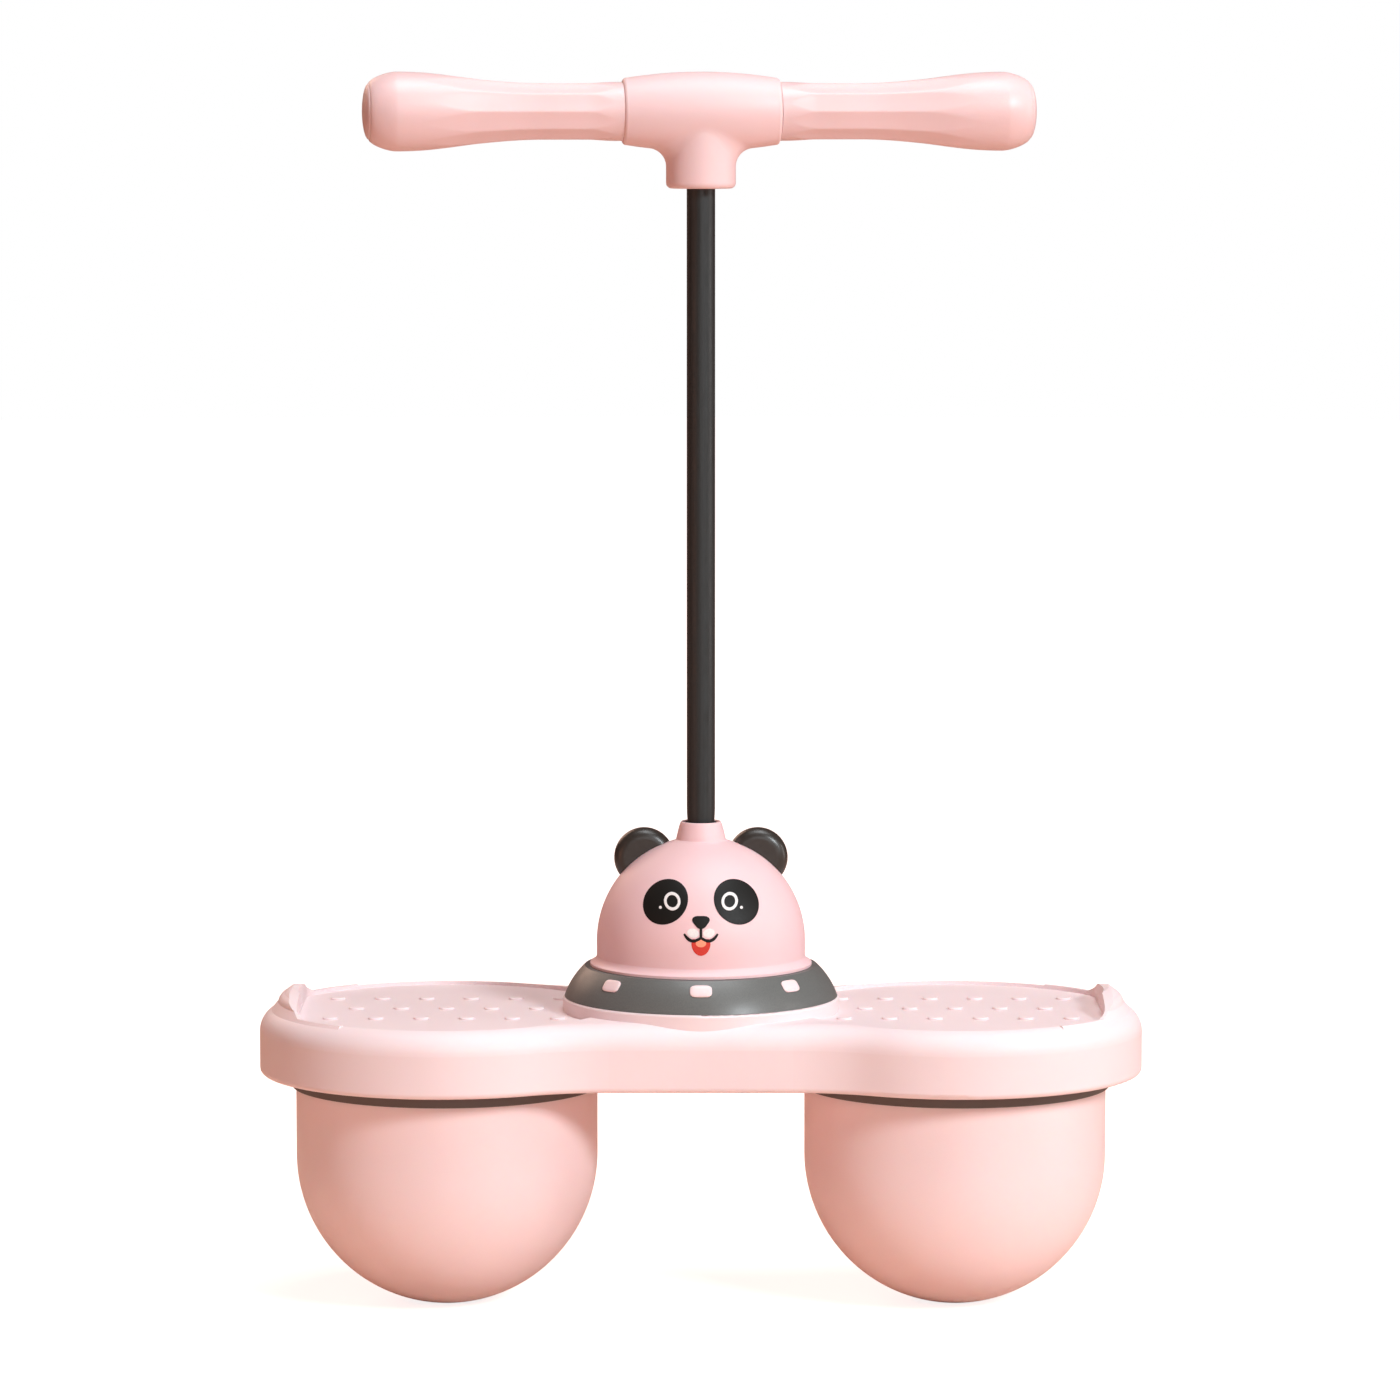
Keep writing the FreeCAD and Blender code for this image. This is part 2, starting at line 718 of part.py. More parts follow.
def make_dome():
    """The head shell: a hemisphere on a short wall, with a flared foot over the ring and bosses inside."""
    foot = "pedestal_z + seat_gap"
    inner = "( dome_r - dome_wall )"
    body = ring_body(
        "dome_shell",
        [
            ("dome_hole_r", f"dome_z + ( {inner} ^ 2 - dome_hole_r ^ 2 ) ^ 0.5"),
            (inner, "dome_z", inner, -1),
            (inner, foot),
            ("dome_r", foot),
            ("dome_r", "dome_foot_z"),
            ("dome_foot_r", "dome_foot_z"),
            ("dome_foot_r", "dome_foot_z + dome_foot_thick"),
            ("dome_r", "dome_foot_top_z", "dome_flare_r", -1),
            ("dome_r", "dome_z"),
            ("dome_hole_r", "dome_z + ( dome_r ^ 2 - dome_hole_r ^ 2 ) ^ 0.5", "dome_r", 1),
        ],
    )
    bosses = new_sketch(body, "dome_bosses", "XY_Plane", foot)
    circles(bosses, dome_screw_places(), "dome_boss_r")
    pad(body, bosses, f"dome_boss_top_z - ( {foot} )")
    holes = new_sketch(body, "dome_boss_holes", "XY_Plane", foot)
    circles(holes, dome_screw_places(), "screw_r")
    pocket(body, holes, f"dome_screw_top_z + bite - ( {foot} )", up=True)
    sockets = doc.addObject("Part::Compound", "ear_sockets")
    start = "dome_r - dome_wall - ear_peg_in - bite"
    sockets.Links = [ear_peg(side, "ear_socket", "ear_peg_r + seat_gap", start) for side in (-1, 1)]
    return boolean("Cut", "dome", body, sockets)


def ear_peg(side, word, radius, low):
    base = ("0", "ear_back", "dome_z")
    return aimed_cylinder(name_for(side, word), radius, low, "dome_r + ear_peg_out", ear_turn(side), base)


def make_ear(side):
    """A plump disc cut to sit on the dome, with a peg through the dome's wall."""
    body = new_body(name_for(side, "ear_disc"))
    section = new_sketch(body, name_for(side, "ear_section"), "XY_Plane")
    face = "ear_thick / 2"
    outline(
        section,
        [
            ("0", f"-1 * ( {face} )"),
            ("ear_r - ear_round", f"-1 * ( {face} )"),
            ("ear_r", f"ear_round - {face}", "ear_round", 1),
            ("ear_r", f"{face} - ear_round"),
            ("ear_r - ear_round", face, "ear_round", 1),
            ("0", face),
        ],
    )
    revolve(body, section)
    bind(
        body,
        Placement__Base__x=f"{side} * ear_reach * sin ( ear_lean )",
        Placement__Base__y="ear_back",
        Placement__Base__z="dome_z + ear_reach * cos ( ear_lean )",
    )
    seat = doc.addObject("Part::Sphere", name_for(side, "ear_seat"))
    bind(seat, Radius="dome_r + ear_seat_gap", Placement__Base__z="dome_z")
    shaped = boolean("Cut", name_for(side, "ear_cut"), body, seat)
    peg = ear_peg(side, "ear_peg", "ear_peg_r", "dome_r - dome_wall - ear_peg_in")
    return boolean("Fuse", name_for(side, "ear"), shaped, peg)


def round_corners(block, name, radius):
    """The block with its four edges along the thickness rounded."""
    doc.recompute()
    thick = measure("window_thick")
    upright = []
    for number, edge in enumerate(block.Shape.Edges, start=1):
        if edge.BoundBox.ZLength > thick / 2:
            upright.append((number, radius, radius))
    rounded = doc.addObject("Part::Fillet", name)
    rounded.Base = block
    rounded.Edges = upright
    return rounded


def window_boxes(label, grow, deep):
    """The ring's window blocks, each square to the ring's slope, grown by a clearance."""
    blocks = []
    for turn in WINDOW_TURNS:
        block = doc.addObject("Part::Box", f"{label}_block_{turn}")
        bind(
            block,
            Length=f"window_wide + 2 * {grow}",
            Width=f"window_high + 2 * {grow}",
            Height=f"window_thick + {deep}",
        )
        rounded = round_corners(block, f"{label}_{turn}", measure(f"window_corner + {grow}"))
        turned = FreeCAD.Rotation(FreeCAD.Vector(0, 0, 1), turn)
        leaning = FreeCAD.Rotation(FreeCAD.Vector(1, 0, 0), 90.0 - measure("window_tilt"))
        corner = FreeCAD.Vector(
            measure(f"-1 * window_wide / 2 - {grow}"),
            measure(f"-1 * window_high / 2 - {grow}"),
            measure("window_proud - window_thick"),
        )
        middle = FreeCAD.Vector(0, -measure("window_r"), measure("window_z"))
        face = turned.multiply(leaning)
        rounded.Placement = FreeCAD.Placement(turned.multVec(middle) + face.multVec(corner), face)
        blocks.append(rounded)
    group = doc.addObject("Part::Compound", label)
    group.Label = label
    group.Links = blocks
    return group


def make_saucer_ring():
    """The ring round the dome: a convex slope, hollow below, with a seat for each window."""
    low = "pedestal_z + seat_gap"
    top = "dome_foot_z - 2 * seat_gap"
    body = ring_body(
        "ring_shell",
        [
            ("ring_in_r", top),
            ("ring_in_r", f"{top} - ring_wall"),
            ("ring_top_r - ring_root", f"{top} - ring_wall"),
            ("ring_out_r - ring_wall", low, "ring_bulge_r - ring_wall", -1),
            ("ring_out_r", low),
            ("ring_top_r", top, "ring_bulge_r", 1),
        ],
    )
    return boolean("Cut", "saucer_ring", body, window_boxes("window_seats", "seat_gap", "bite"))


def make_neck_bush():
    """The bush in the dome's crown: a plug, a bowed skirt that sits on the dome, and the bead's socket."""
    way = "cord_r + cord_clear"
    sits = "( dome_z + ( dome_r ^ 2 - neck_low_r ^ 2 ) ^ 0.5 + seat_gap )"
    plug_sits = "( dome_z + ( dome_r ^ 2 - neck_plug_r ^ 2 ) ^ 0.5 + seat_gap )"
    return ring_body(
        "neck_bush",
        [
            (way, "neck_top_z - neck_plug_deep"),
            ("neck_plug_r", "neck_top_z - neck_plug_deep"),
            ("neck_plug_r", plug_sits),
            ("neck_low_r", sits),
            ("neck_top_r", "neck_top_z", "neck_bow_r", 1),
            ("neck_socket_r", "neck_top_z"),
            ("neck_socket_r", "neck_top_z - neck_socket_deep"),
            (way, "neck_top_z - neck_socket_deep"),
        ],
    )


def make_neck_grommet():
    """A swivel bead on the cord: a band of a sphere centred on the lean axes."""
    edge = "( bead_r ^ 2 - bead_half ^ 2 ) ^ 0.5"
    return ring_body(
        "neck_grommet",
        [
            ("cord_r + bead_fit", "pivot_z - bead_half"),
            (edge, "pivot_z - bead_half"),
            (edge, "pivot_z + bead_half", "bead_r", 1),
            ("cord_r + bead_fit", "pivot_z + bead_half"),
        ],
    )


def make_anchor(label, outer, low, high):
    """A steel ring round the cord: a washer or a crimped ferrule."""
    bore = "cord_r + bore_fit"
    return ring_body(label, [(bore, low), (outer, low), (outer, high), (bore, high)])


def make_cord():
    cord = doc.addObject("Part::Cylinder", "elastic_cord")
    cord.Label = "elastic_cord"
    bind(cord, Radius="cord_r", Height="cord_high_z - cord_low_z", Placement__Base__z="cord_low_z")
    return cord


def turned_handle(body):
    """The handle rests a few degrees round from the deck."""
    bind(body, Placement__Rotation__Angle="handle_turn")
    return body


def make_hub():
    """The T-piece: a swollen barrel along X, a socket below, the tube's bore and the cord anchor's room."""
    body = new_body("t_hub")
    barrel = new_sketch(body, "barrel", "XZ_Plane")
    bind(barrel, AttachmentOffset__Base__y="hub_z")
    shoulder = "( hub_half - hub_shoulder )"
    swell = "( hub_mid_r - hub_shoulder_r )"
    bow = f"( ( {shoulder} ^ 2 + {swell} ^ 2 ) / ( 2 * {swell} ) )"
    outline(
        barrel,
        [
            ("-1 * hub_half", "0"),
            ("hub_half", "0"),
            ("hub_half", "hub_end_r"),
            (shoulder, "hub_shoulder_r", "hub_shoulder", 1),
            (f"-1 * {shoulder}", "hub_shoulder_r", bow, 1),
            ("-1 * hub_half", "hub_end_r", "hub_shoulder", 1),
        ],
    )
    revolve(body, barrel, axis="H_Axis")
    socket = new_sketch(body, "socket", "XZ_Plane")
    outline(
        socket,
        [
            ("0", "socket_bottom_z"),
            ("socket_r - socket_edge", "socket_bottom_z"),
            ("socket_r", "socket_bottom_z + socket_edge", "socket_edge", 1),
            ("socket_r", "hub_z"),
            ("0", "hub_z"),
        ],
    )
    revolve(body, socket)
    low = measure("hub_z - hub_mid_r - bite")
    fillet(
        body,
        "socket_blend",
        lambda edge: edge.BoundBox.ZMin > low
        and edge.BoundBox.ZMax < measure("hub_z - bite")
        and edge.BoundBox.YLength > measure("socket_r")
        and edge.BoundBox.XLength > measure("socket_edge"),
        "socket_blend_round",
    )
    bore = new_sketch(body, "tube_bore", "YZ_Plane")
    circle(bore, "0", "hub_z", "tube_r + bore_fit")
    pocket(body, bore, "4 * hub_half").Midplane = True
    cavity = new_sketch(body, "anchor_room", "XZ_Plane")
    outline(
        cavity,
        [
            ("0", "socket_floor_z"),
            ("socket_cavity_r", "socket_floor_z"),
            ("socket_cavity_r", "socket_cavity_top_z - cavity_taper"),
            ("tube_r - bite", "socket_cavity_top_z"),
            ("0", "socket_cavity_top_z"),
        ],
    )
    revolve(body, cavity, kind="Groove")
    cord_hole = new_sketch(body, "cord_way", "XY_Plane", "socket_bottom_z")
    circle(cord_hole, "0", "0", "cord_r + cord_clear")
    pocket(body, cord_hole, "socket_floor_z - socket_bottom_z + bite", up=True)
    add_hub_screw_holes(body, "hub_bores", "screw_r", "tube_r - 2 * bite")
    seat = "hub_mid_r - screw_head - hub_screw_sink"
    add_hub_screw_holes(body, "hub_counterbores", "screw_head_r + seat_gap", seat)
    return turned_handle(body)


def add_hub_screw_holes(body, name, radius, start):
    """Holes from the back of the handle, from `start` outwards."""
    sketch = new_sketch(body, name, "XZ_Plane", f"-1 * ( {start} )")
    for side in (-1, 1):
        circle(sketch, f"{side} * hub_screw_x", "hub_z", radius)
    pocket(body, sketch, f"hub_mid_r + 5 * bite - ( {start} )")


def make_hub_screws():
    body = new_body("hub_screws")
    body.AllowCompound = True
    seat = "( hub_mid_r - screw_head - hub_screw_sink )"
    for name, radius, start, end in (
        ("hub_screw_shanks", "screw_r", "tube_r - hub_screw_in", seat),
        ("hub_screw_heads", "screw_head_r", seat, f"{seat} + screw_head"),
    ):
        sketch = new_sketch(body, name, "XZ_Plane", f"-1 * ( {end} )")
        for side in (-1, 1):
            circle(sketch, f"{side} * hub_screw_x", "hub_z", radius)
        pad(body, sketch, f"{end} - ( {start} )")
    return turned_handle(body)


def make_handle_tube():
    body = new_body("handle_tube")
    section = new_sketch(body, "tube_section", "XZ_Plane")
    bind(section, AttachmentOffset__Base__y="hub_z")
    outline(
        section,
        [
            ("-1 * tube_half", "tube_r - tube_wall"),
            ("tube_half", "tube_r - tube_wall"),
            ("tube_half", "tube_r"),
            ("-1 * tube_half", "tube_r"),
        ],
    )
    revolve(body, section, axis="H_Axis")
    add_hub_screw_holes(body, "tube_holes", "screw_r", "tube_r - tube_wall - 2 * bite")
    return turned_handle(body)


def make_grip(side):
    """A waisted grip that swells into a bulb near its end, with shallow flutes along the waist."""
    body = new_body(name_for(side, "grip"))
    section = new_sketch(body, name_for(side, "grip_section"), "XZ_Plane")
    bind(section, AttachmentOffset__Base__y="hub_z")
    corners = [
        ("hub_half + fit_gap", "tube_r + bore_fit"),
        ("grip_open_x", "tube_r + bore_fit"),
        ("grip_open_x", "grip_cap_r"),
        ("handle_half - grip_end_in", "grip_bulb_r - grip_end_drop", "grip_end_round", 1),
        ("handle_half - grip_peak_in", "grip_bulb_r", "grip_peak_round", 1),
        ("handle_half - grip_swell_in", "grip_bulb_r - grip_swell_drop", "grip_swell_round", 1),
        ("handle_half - grip_rise_in", "grip_waist_r + grip_rise"),
        ("handle_half - grip_flat_in", "grip_waist_r", "grip_rise_round", -1),
        ("hub_half + fit_gap", "grip_waist_r"),
    ]
    outline(section, sided(side, corners))
    revolve(body, section, axis="H_Axis")
    start = f"{side} * ( hub_half + flute_start )"
    flute = new_sketch(body, name_for(side, "flute"), "YZ_Plane", start)
    bind(flute, AttachmentOffset__Base__y="hub_z + flute_bend")
    circle(flute, "0", "grip_waist_r + flute_cutter_r - flute_deep - flute_bend", "flute_cutter_r")
    groove = revolve(body, flute, axis="H_Axis", kind="Groove")
    bind(groove, Angle="flute_length / flute_bend * 180 / pi")
    groove.Reversed = side < 0
    ring = body.newObject("PartDesign::PolarPattern", name_for(side, "flutes"))
    ring.Originals = [groove]
    ring.Axis = (section, ["H_Axis"])
    ring.Angle = 360
    ring.Occurrences = FLUTES
    body.Tip = ring
    return turned_handle(body)


def make_grip_cap(side):
    """A domed end cap with a plug inside the tube."""
    body = new_body(name_for(side, "grip_cap"))
    section = new_sketch(body, name_for(side, "cap_section"), "XZ_Plane")
    bind(section, AttachmentOffset__Base__y="hub_z")
    crown = "( handle_half - grip_cap_x )"
    dome = f"( ( grip_cap_r ^ 2 + {crown} ^ 2 ) / ( 2 * {crown} ) )"
    corners = [
        ("grip_cap_x - grip_plug_deep", "0"),
        ("handle_half", "0"),
        ("grip_cap_x", "grip_cap_r", dome, 1),
        ("grip_cap_x", "grip_plug_r"),
        ("grip_cap_x - grip_plug_deep", "grip_plug_r"),
    ]
    outline(section, sided(side, corners))
    revolve(body, section, axis="H_Axis")
    return turned_handle(body)


def finish(parts):
    """Check every object, then write one STEP file for each labelled sub-part."""
    doc.recompute()
    for thing in doc.Objects:
        if "Invalid" in thing.State or "Error" in thing.State:
            raise RuntimeError(f"{thing.Label}: {thing.State}")
    os.makedirs("parts", exist_ok=True)
    for part in parts:
        shape = part.Shape
        if shape.isNull() or not shape.isValid():
            raise RuntimeError(f"{part.Label} has no valid shape")
        shape.exportStep(f"parts/{part.Label}.step")
        print(f"{part.Label}: {shape.Volume / 1000:.1f} cm3, {len(shape.Solids)} solids")


def build():
    deck_heads = "deck_bottom_z + base_gap + screw_slack"
    dome_heads = "ceiling_z - screw_head"
    parts = [make_deck_top(), make_deck_base()]
    parts.append(make_screws("deck_screws", screw_places(), deck_heads, "screw_top_z"))
    parts.append(make_screws("dome_screws", dome_screw_places(), dome_heads, "dome_screw_top_z"))
    for side in (-1, 1):
        parts += [make_ball(side), valve_solid(side, "ball_valve", "0")]
        parts += [make_collar(side), make_clamp(side)]
        parts += [make_ear(side), make_grip(side), make_grip_cap(side)]
    parts += [make_dome(), make_saucer_ring(), window_boxes("ring_windows", "0", "0")]
    parts += [make_neck_bush(), make_neck_grommet(), make_cord()]
    low_top = "cord_boss_z - seat_gap"
    low_bottom = f"{low_top} - washer_thick"
    high_bottom = "socket_floor_z + fit_gap"
    high_top = f"{high_bottom} + washer_thick"
    parts += [
        make_anchor("cord_lower_washer", "washer_r", low_bottom, low_top),
        make_anchor("cord_lower_ferrule", "ferrule_r", "ferrule_low_z", f"{low_bottom} - seat_gap"),
        make_anchor("cord_upper_washer", "washer_r", high_bottom, high_top),
        make_anchor("cord_upper_ferrule", "ferrule_r", f"{high_top} + seat_gap", "ferrule_high_z"),
    ]
    parts += [make_hub(), make_hub_screws(), make_handle_tube()]
    finish(parts)


build()
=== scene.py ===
import json
import math

import bmesh
import bpy
from mathutils import Matrix, Vector


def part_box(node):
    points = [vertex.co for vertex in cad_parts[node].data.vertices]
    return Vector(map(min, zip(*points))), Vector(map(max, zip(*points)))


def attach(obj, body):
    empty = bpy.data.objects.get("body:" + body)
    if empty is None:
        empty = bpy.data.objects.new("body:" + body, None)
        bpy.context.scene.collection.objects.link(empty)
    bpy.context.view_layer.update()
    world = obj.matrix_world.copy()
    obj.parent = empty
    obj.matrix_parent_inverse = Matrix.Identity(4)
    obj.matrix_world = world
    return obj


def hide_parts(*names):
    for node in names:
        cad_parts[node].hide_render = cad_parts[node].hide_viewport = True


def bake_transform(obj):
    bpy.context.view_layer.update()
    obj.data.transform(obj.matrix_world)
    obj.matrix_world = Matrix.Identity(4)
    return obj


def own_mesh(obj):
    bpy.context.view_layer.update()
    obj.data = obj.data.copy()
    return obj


# A pink jumping toy: a deck on two rubber balls, a panda-head dome, and a T-handle on a stretch cord.
# Metres, in the CAD frame: +Z up, X along the deck, the face looks along -Y.

MM = 0.001
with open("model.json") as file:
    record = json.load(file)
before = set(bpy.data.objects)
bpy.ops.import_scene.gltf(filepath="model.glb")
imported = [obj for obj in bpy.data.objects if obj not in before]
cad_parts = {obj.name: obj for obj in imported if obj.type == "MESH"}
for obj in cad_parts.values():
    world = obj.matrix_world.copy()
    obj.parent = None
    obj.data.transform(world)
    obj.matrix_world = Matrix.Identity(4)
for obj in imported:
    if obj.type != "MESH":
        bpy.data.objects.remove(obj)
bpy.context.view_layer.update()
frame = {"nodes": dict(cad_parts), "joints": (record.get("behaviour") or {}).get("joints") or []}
nodes = frame["nodes"]


def middle(node):
    """The centre of a CAD node's box."""
    low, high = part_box(node)
    return (low + high) / 2


def size(node):
    low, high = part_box(node)
    return high - low


def joint(name):
    return next(found for found in frame["joints"] if found["name"] == name)


SIDES = {"left": -1, "right": 1}

# Places and sizes read from the frame.
BALL_X = middle("ball_right").x
BALL_TOP = joint("ball_right_squash")["deforming_nodes"][0]["fixed_end_z_m"]
FLANGE_R = size("ball_right").x / 2
PIVOT_Z = joint("handle_lean_side")["pos_m"][2]
CORD_LOW, CORD_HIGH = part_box("elastic_cord")[0].z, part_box("elastic_cord")[1].z
CORD_R = size("elastic_cord").x / 2
grips_apart = middle("grip_right") - middle("grip_left")
HANDLE_TURN = math.atan2(grips_apart.y, grips_apart.x)
HUB_Z = middle("handle_tube").z

# Sizes of the pieces made here.
BALL_R = 82.0 * MM
FOOT_R = 13.0 * MM
BALL_WALL_TOP = 131.4 * MM
VALVE_TILT = math.radians(32.0)
VALVE_R, VALVE_RIM, VALVE_WELL_R = 6.5 * MM, 0.7 * MM, 2.3 * MM
VALVE_SUNK, VALVE_SHOULDER, VALVE_TOP = -1.3 * MM, 0.1 * MM, 0.8 * MM
DOME_R = 56.6 * MM
DOME_Z = 197.5 * MM
FACE_TILT = math.radians(7.9)
CORD_NECK_R = 7.3 * MM
CORD_SWELL_START, CORD_SWELL_END = 1 * MM, 9 * MM
CORD_ROOT_GAP = 0.4 * MM
BEAD_R, BEAD_HALF, BEAD_GAP = 8.6 * MM, 1.9 * MM, 0.05 * MM
BUSH_FOOT_R, BUSH_LIP_R = 13.5 * MM, 10.7 * MM
BUSH_MOUTH_R, BUSH_BORE_R = 10.2 * MM, 8.8 * MM
BUSH_LIP_ROUND = 0.15 * MM
BUSH_BORE_TOP, BUSH_BORE_BOTTOM = PIVOT_Z - 1 * MM, PIVOT_Z - 9 * MM
# The skirt's points: mm out from the foot, and mm up from the dome.
BUSH_SKIRT = ((1.9, -1.0), (1.6, 0.02), (0.8, 0.18), (0.3, 0.4))
WINDOW_TURNS = (0, 45, 135, 180, 225, 315)
WINDOW_R, WINDOW_Z = 67.8 * MM, 179.4 * MM
WINDOW_LEAN = math.radians(53.1)
WINDOW_WIDE, WINDOW_TALL, WINDOW_SQUARE = 11.8 * MM, 7.2 * MM, 0.55
WINDOW_STEPS = 48
# The window's crown: the share of its outline, and mm up from the ring's face.
WINDOW_CROWN = ((0.97, -0.6), (1.0, 0.1), (0.97, 0.35), (0.88, 0.55), (0.6, 0.75), (0.3, 0.82))
GRIP_START, GRIP_END = 42.55 * MM, 178.4 * MM
GRIP_WAIST_END, GRIP_PEAK = 86.0 * MM, 164.0 * MM
GRIP_WAIST_R, GRIP_BULB_R, GRIP_MOUTH_R = 15.75 * MM, 21.2 * MM, 15.2 * MM
GRIP_END_POWER = 1.5
GRIP_CROWN = 3.7 * MM
CAP_GAP, CAP_RIM_ROUND = 0.1 * MM, 2 * MM
FLUTES = 10
FLUTE_DEEP = 0.9 * MM
FLUTE_IN, FLUTE_OUT = (46 * MM, 62 * MM), (118 * MM, 152 * MM)
STEPS_IN_A_FLUTE = 16
SHARP_EDGE = math.radians(38)
INK_ROOT = -0.4 * MM


# ---------------------------------------------------------------- node helpers


class Shader:
    """A material with a Principled shader and short ways to add nodes to it."""

    def __init__(self, name, color, roughness):
        self.material = bpy.data.materials.new(name)
        self.material.use_nodes = True
        self.tree = self.material.node_tree
        self.out = self.tree.nodes["Material Output"]
        self.bsdf = self.tree.nodes["Principled BSDF"]
        self.bsdf.inputs["Base Color"].default_value = (*color, 1.0)
        self.bsdf.inputs["Roughness"].default_value = roughness
        self.coords = self.node("ShaderNodeTexCoord").outputs["Object"]

    def node(self, kind, **settings):
        made = self.tree.nodes.new(kind)
        for key, value in settings.items():
            setattr(made, key, value)
        return made

    def link(self, source, target):
        self.tree.links.new(source, target)

    def set(self, **values):
        """Fixed values on the shader's own sockets."""
        for key, value in values.items():
            self.bsdf.inputs[key.replace("_", " ")].default_value = value

    def noise(self, scale, detail=3.0, rough=0.5, stretch=(1, 1, 1)):
        mapping = self.node("ShaderNodeMapping")
        mapping.inputs["Scale"].default_value = stretch
        self.link(self.coords, mapping.inputs["Vector"])
        texture = self.node("ShaderNodeTexNoise")
        texture.inputs["Scale"].default_value = scale
        texture.inputs["Detail"].default_value = detail
        texture.inputs["Roughness"].default_value = rough
        self.link(mapping.outputs["Vector"], texture.inputs["Vector"])
        return texture.outputs["Fac"]

    def spread(self, value, low, high, start=0.3, end=0.7):
        """Map a 0..1 texture to the range low..high."""
        ramp = self.node("ShaderNodeMapRange")
        ramp.inputs["From Min"].default_value = start
        ramp.inputs["From Max"].default_value = end
        ramp.inputs["To Min"].default_value = low
        ramp.inputs["To Max"].default_value = high
        self.link(value, ramp.inputs["Value"])
        return ramp.outputs["Result"]

    def tint(self, factor, first, second):
        """Mix two colours by a factor into the base colour."""
        mix = self.node("ShaderNodeMix", data_type="RGBA")
        mix.inputs[6].default_value = (*first, 1.0)
        mix.inputs[7].default_value = (*second, 1.0)
        self.link(factor, mix.inputs[0])
        self.link(mix.outputs[2], self.bsdf.inputs["Base Color"])
        return mix

    def roughen(self, value):
        self.link(value, self.bsdf.inputs["Roughness"])

    def bump(self, *layers):
        """Each layer is (texture, depth in metres); they stack."""
        previous = None
        for height, depth in layers:
            step = self.node("ShaderNodeBump")
            step.inputs["Strength"].default_value = 1.0
            step.inputs["Distance"].default_value = depth
            self.link(height, step.inputs["Height"])
            if previous is not None:
                self.link(previous, step.inputs["Normal"])
            previous = step.outputs["Normal"]
        self.link(previous, self.bsdf.inputs["Normal"])


def shade(color, amount):
    """The colour made lighter (above 1) or darker."""
    return tuple(min(1.0, channel * amount) for channel in color)


# ---------------------------------------------------------------- materials

# The deck, dome and hub are one pink plastic in three copies. The deck's copy is painted lighter and the
# dome's and hub's are painted darker: painted light and shade that stand in for how the lamps fall on each
# part.
DECK_PINK_PAINTED_LIGHTER = (0.85, 0.705, 0.71)
DOME_PINK_PAINTED_DARKER = (0.82, 0.565, 0.575)
HUB_PINK_PAINTED_DARKER = (0.82, 0.595, 0.59)
BALL_PINK = (0.87, 0.70, 0.70)
GRIP_PINK = (0.81, 0.575, 0.565)


def moulded_plastic(name, color, roughness, grain=0.00001):
    """Injection-moulded gloss plastic: faint flow clouds, micro orange-peel and uneven polish."""
    shader = Shader(name, color, roughness)
    clouds = shader.noise(14.0, 2.0)
    shader.tint(shader.spread(clouds, 0.0, 1.0), shade(color, 0.975), shade(color, 1.02))
    polish = shader.noise(60.0, 4.0)
    shader.roughen(shader.spread(polish, roughness - 0.03, roughness + 0.03))
    shader.bump((shader.noise(420.0, 3.0), grain), (shader.noise(2600.0, 2.0), grain * 0.25))
    shader.set(Coat_Weight=0.05, Coat_Roughness=0.35, Specular_IOR_Level=0.35)
    shader.set(Subsurface_Weight=0.12, Subsurface_Scale=0.004, Subsurface_Radius=(1.0, 0.35, 0.2))
    return shader.material


def soft_rubber(name, color, roughness, grain=0.00005, scale=1400.0, under=0.18):
    """Satin elastomer: a very fine skin texture and soft scattering under it."""
    shader = Shader(name, color, roughness)
    clouds = shader.noise(9.0, 3.0)
    shader.tint(shader.spread(clouds, 0.0, 1.0), shade(color, 0.965), shade(color, 1.02))
    shader.roughen(shader.spread(shader.noise(45.0, 4.0), roughness - 0.05, roughness + 0.06))
    shader.bump((shader.noise(180.0, 2.0), grain * 0.8), (shader.noise(scale, 3.0), grain))
    shader.set(Subsurface_Weight=under, Subsurface_Scale=0.006, Subsurface_Radius=(1.0, 0.32, 0.18))
    shader.set(Sheen_Weight=0.05, Sheen_Roughness=0.5)
    return shader.material


def grey_plastic(name, color, roughness):
    """Filled grey plastic with a fine speckle."""
    shader = Shader(name, color, roughness)
    speckle = shader.noise(1900.0, 2.0, 0.7)
    shader.tint(shader.spread(speckle, 0.0, 1.0, 0.35, 0.65), shade(color, 0.9), shade(color, 1.1))
    shader.roughen(shader.spread(shader.noise(70.0, 3.0), roughness - 0.05, roughness + 0.06))
    shader.bump((shader.noise(700.0, 3.0), 0.00003))
    return shader.material


def gloss_dark(name, color, roughness):
    """Dark gloss plastic with hairline scuffs."""
    shader = Shader(name, color, roughness)
    scuffs = shader.noise(160.0, 6.0, 0.6, (1.0, 0.12, 1.0))
    shader.tint(shader.spread(scuffs, 0.0, 1.0, 0.45, 0.8), color, shade(color, 1.25))
    shader.roughen(shader.spread(scuffs, roughness - 0.03, roughness + 0.08))
    shader.bump((shader.noise(500.0, 3.0), 0.00002))
    shader.set(Coat_Weight=0.1, Coat_Roughness=0.2)
    return shader.material


def stretch_cord(name, color, roughness):
    """Extruded black rubber: fine draw lines along its length over a dull skin."""
    shader = Shader(name, color, roughness)
    lines = shader.noise(900.0, 3.0, 0.6, (1.0, 1.0, 0.02))
    shader.tint(shader.spread(lines, 0.0, 1.0), shade(color, 0.8), shade(color, 1.3))
    shader.roughen(shader.spread(shader.noise(120.0, 3.0), roughness - 0.06, roughness + 0.06))
    shader.bump((lines, 0.00006), (shader.noise(2200.0, 2.0), 0.00003))
    return shader.material


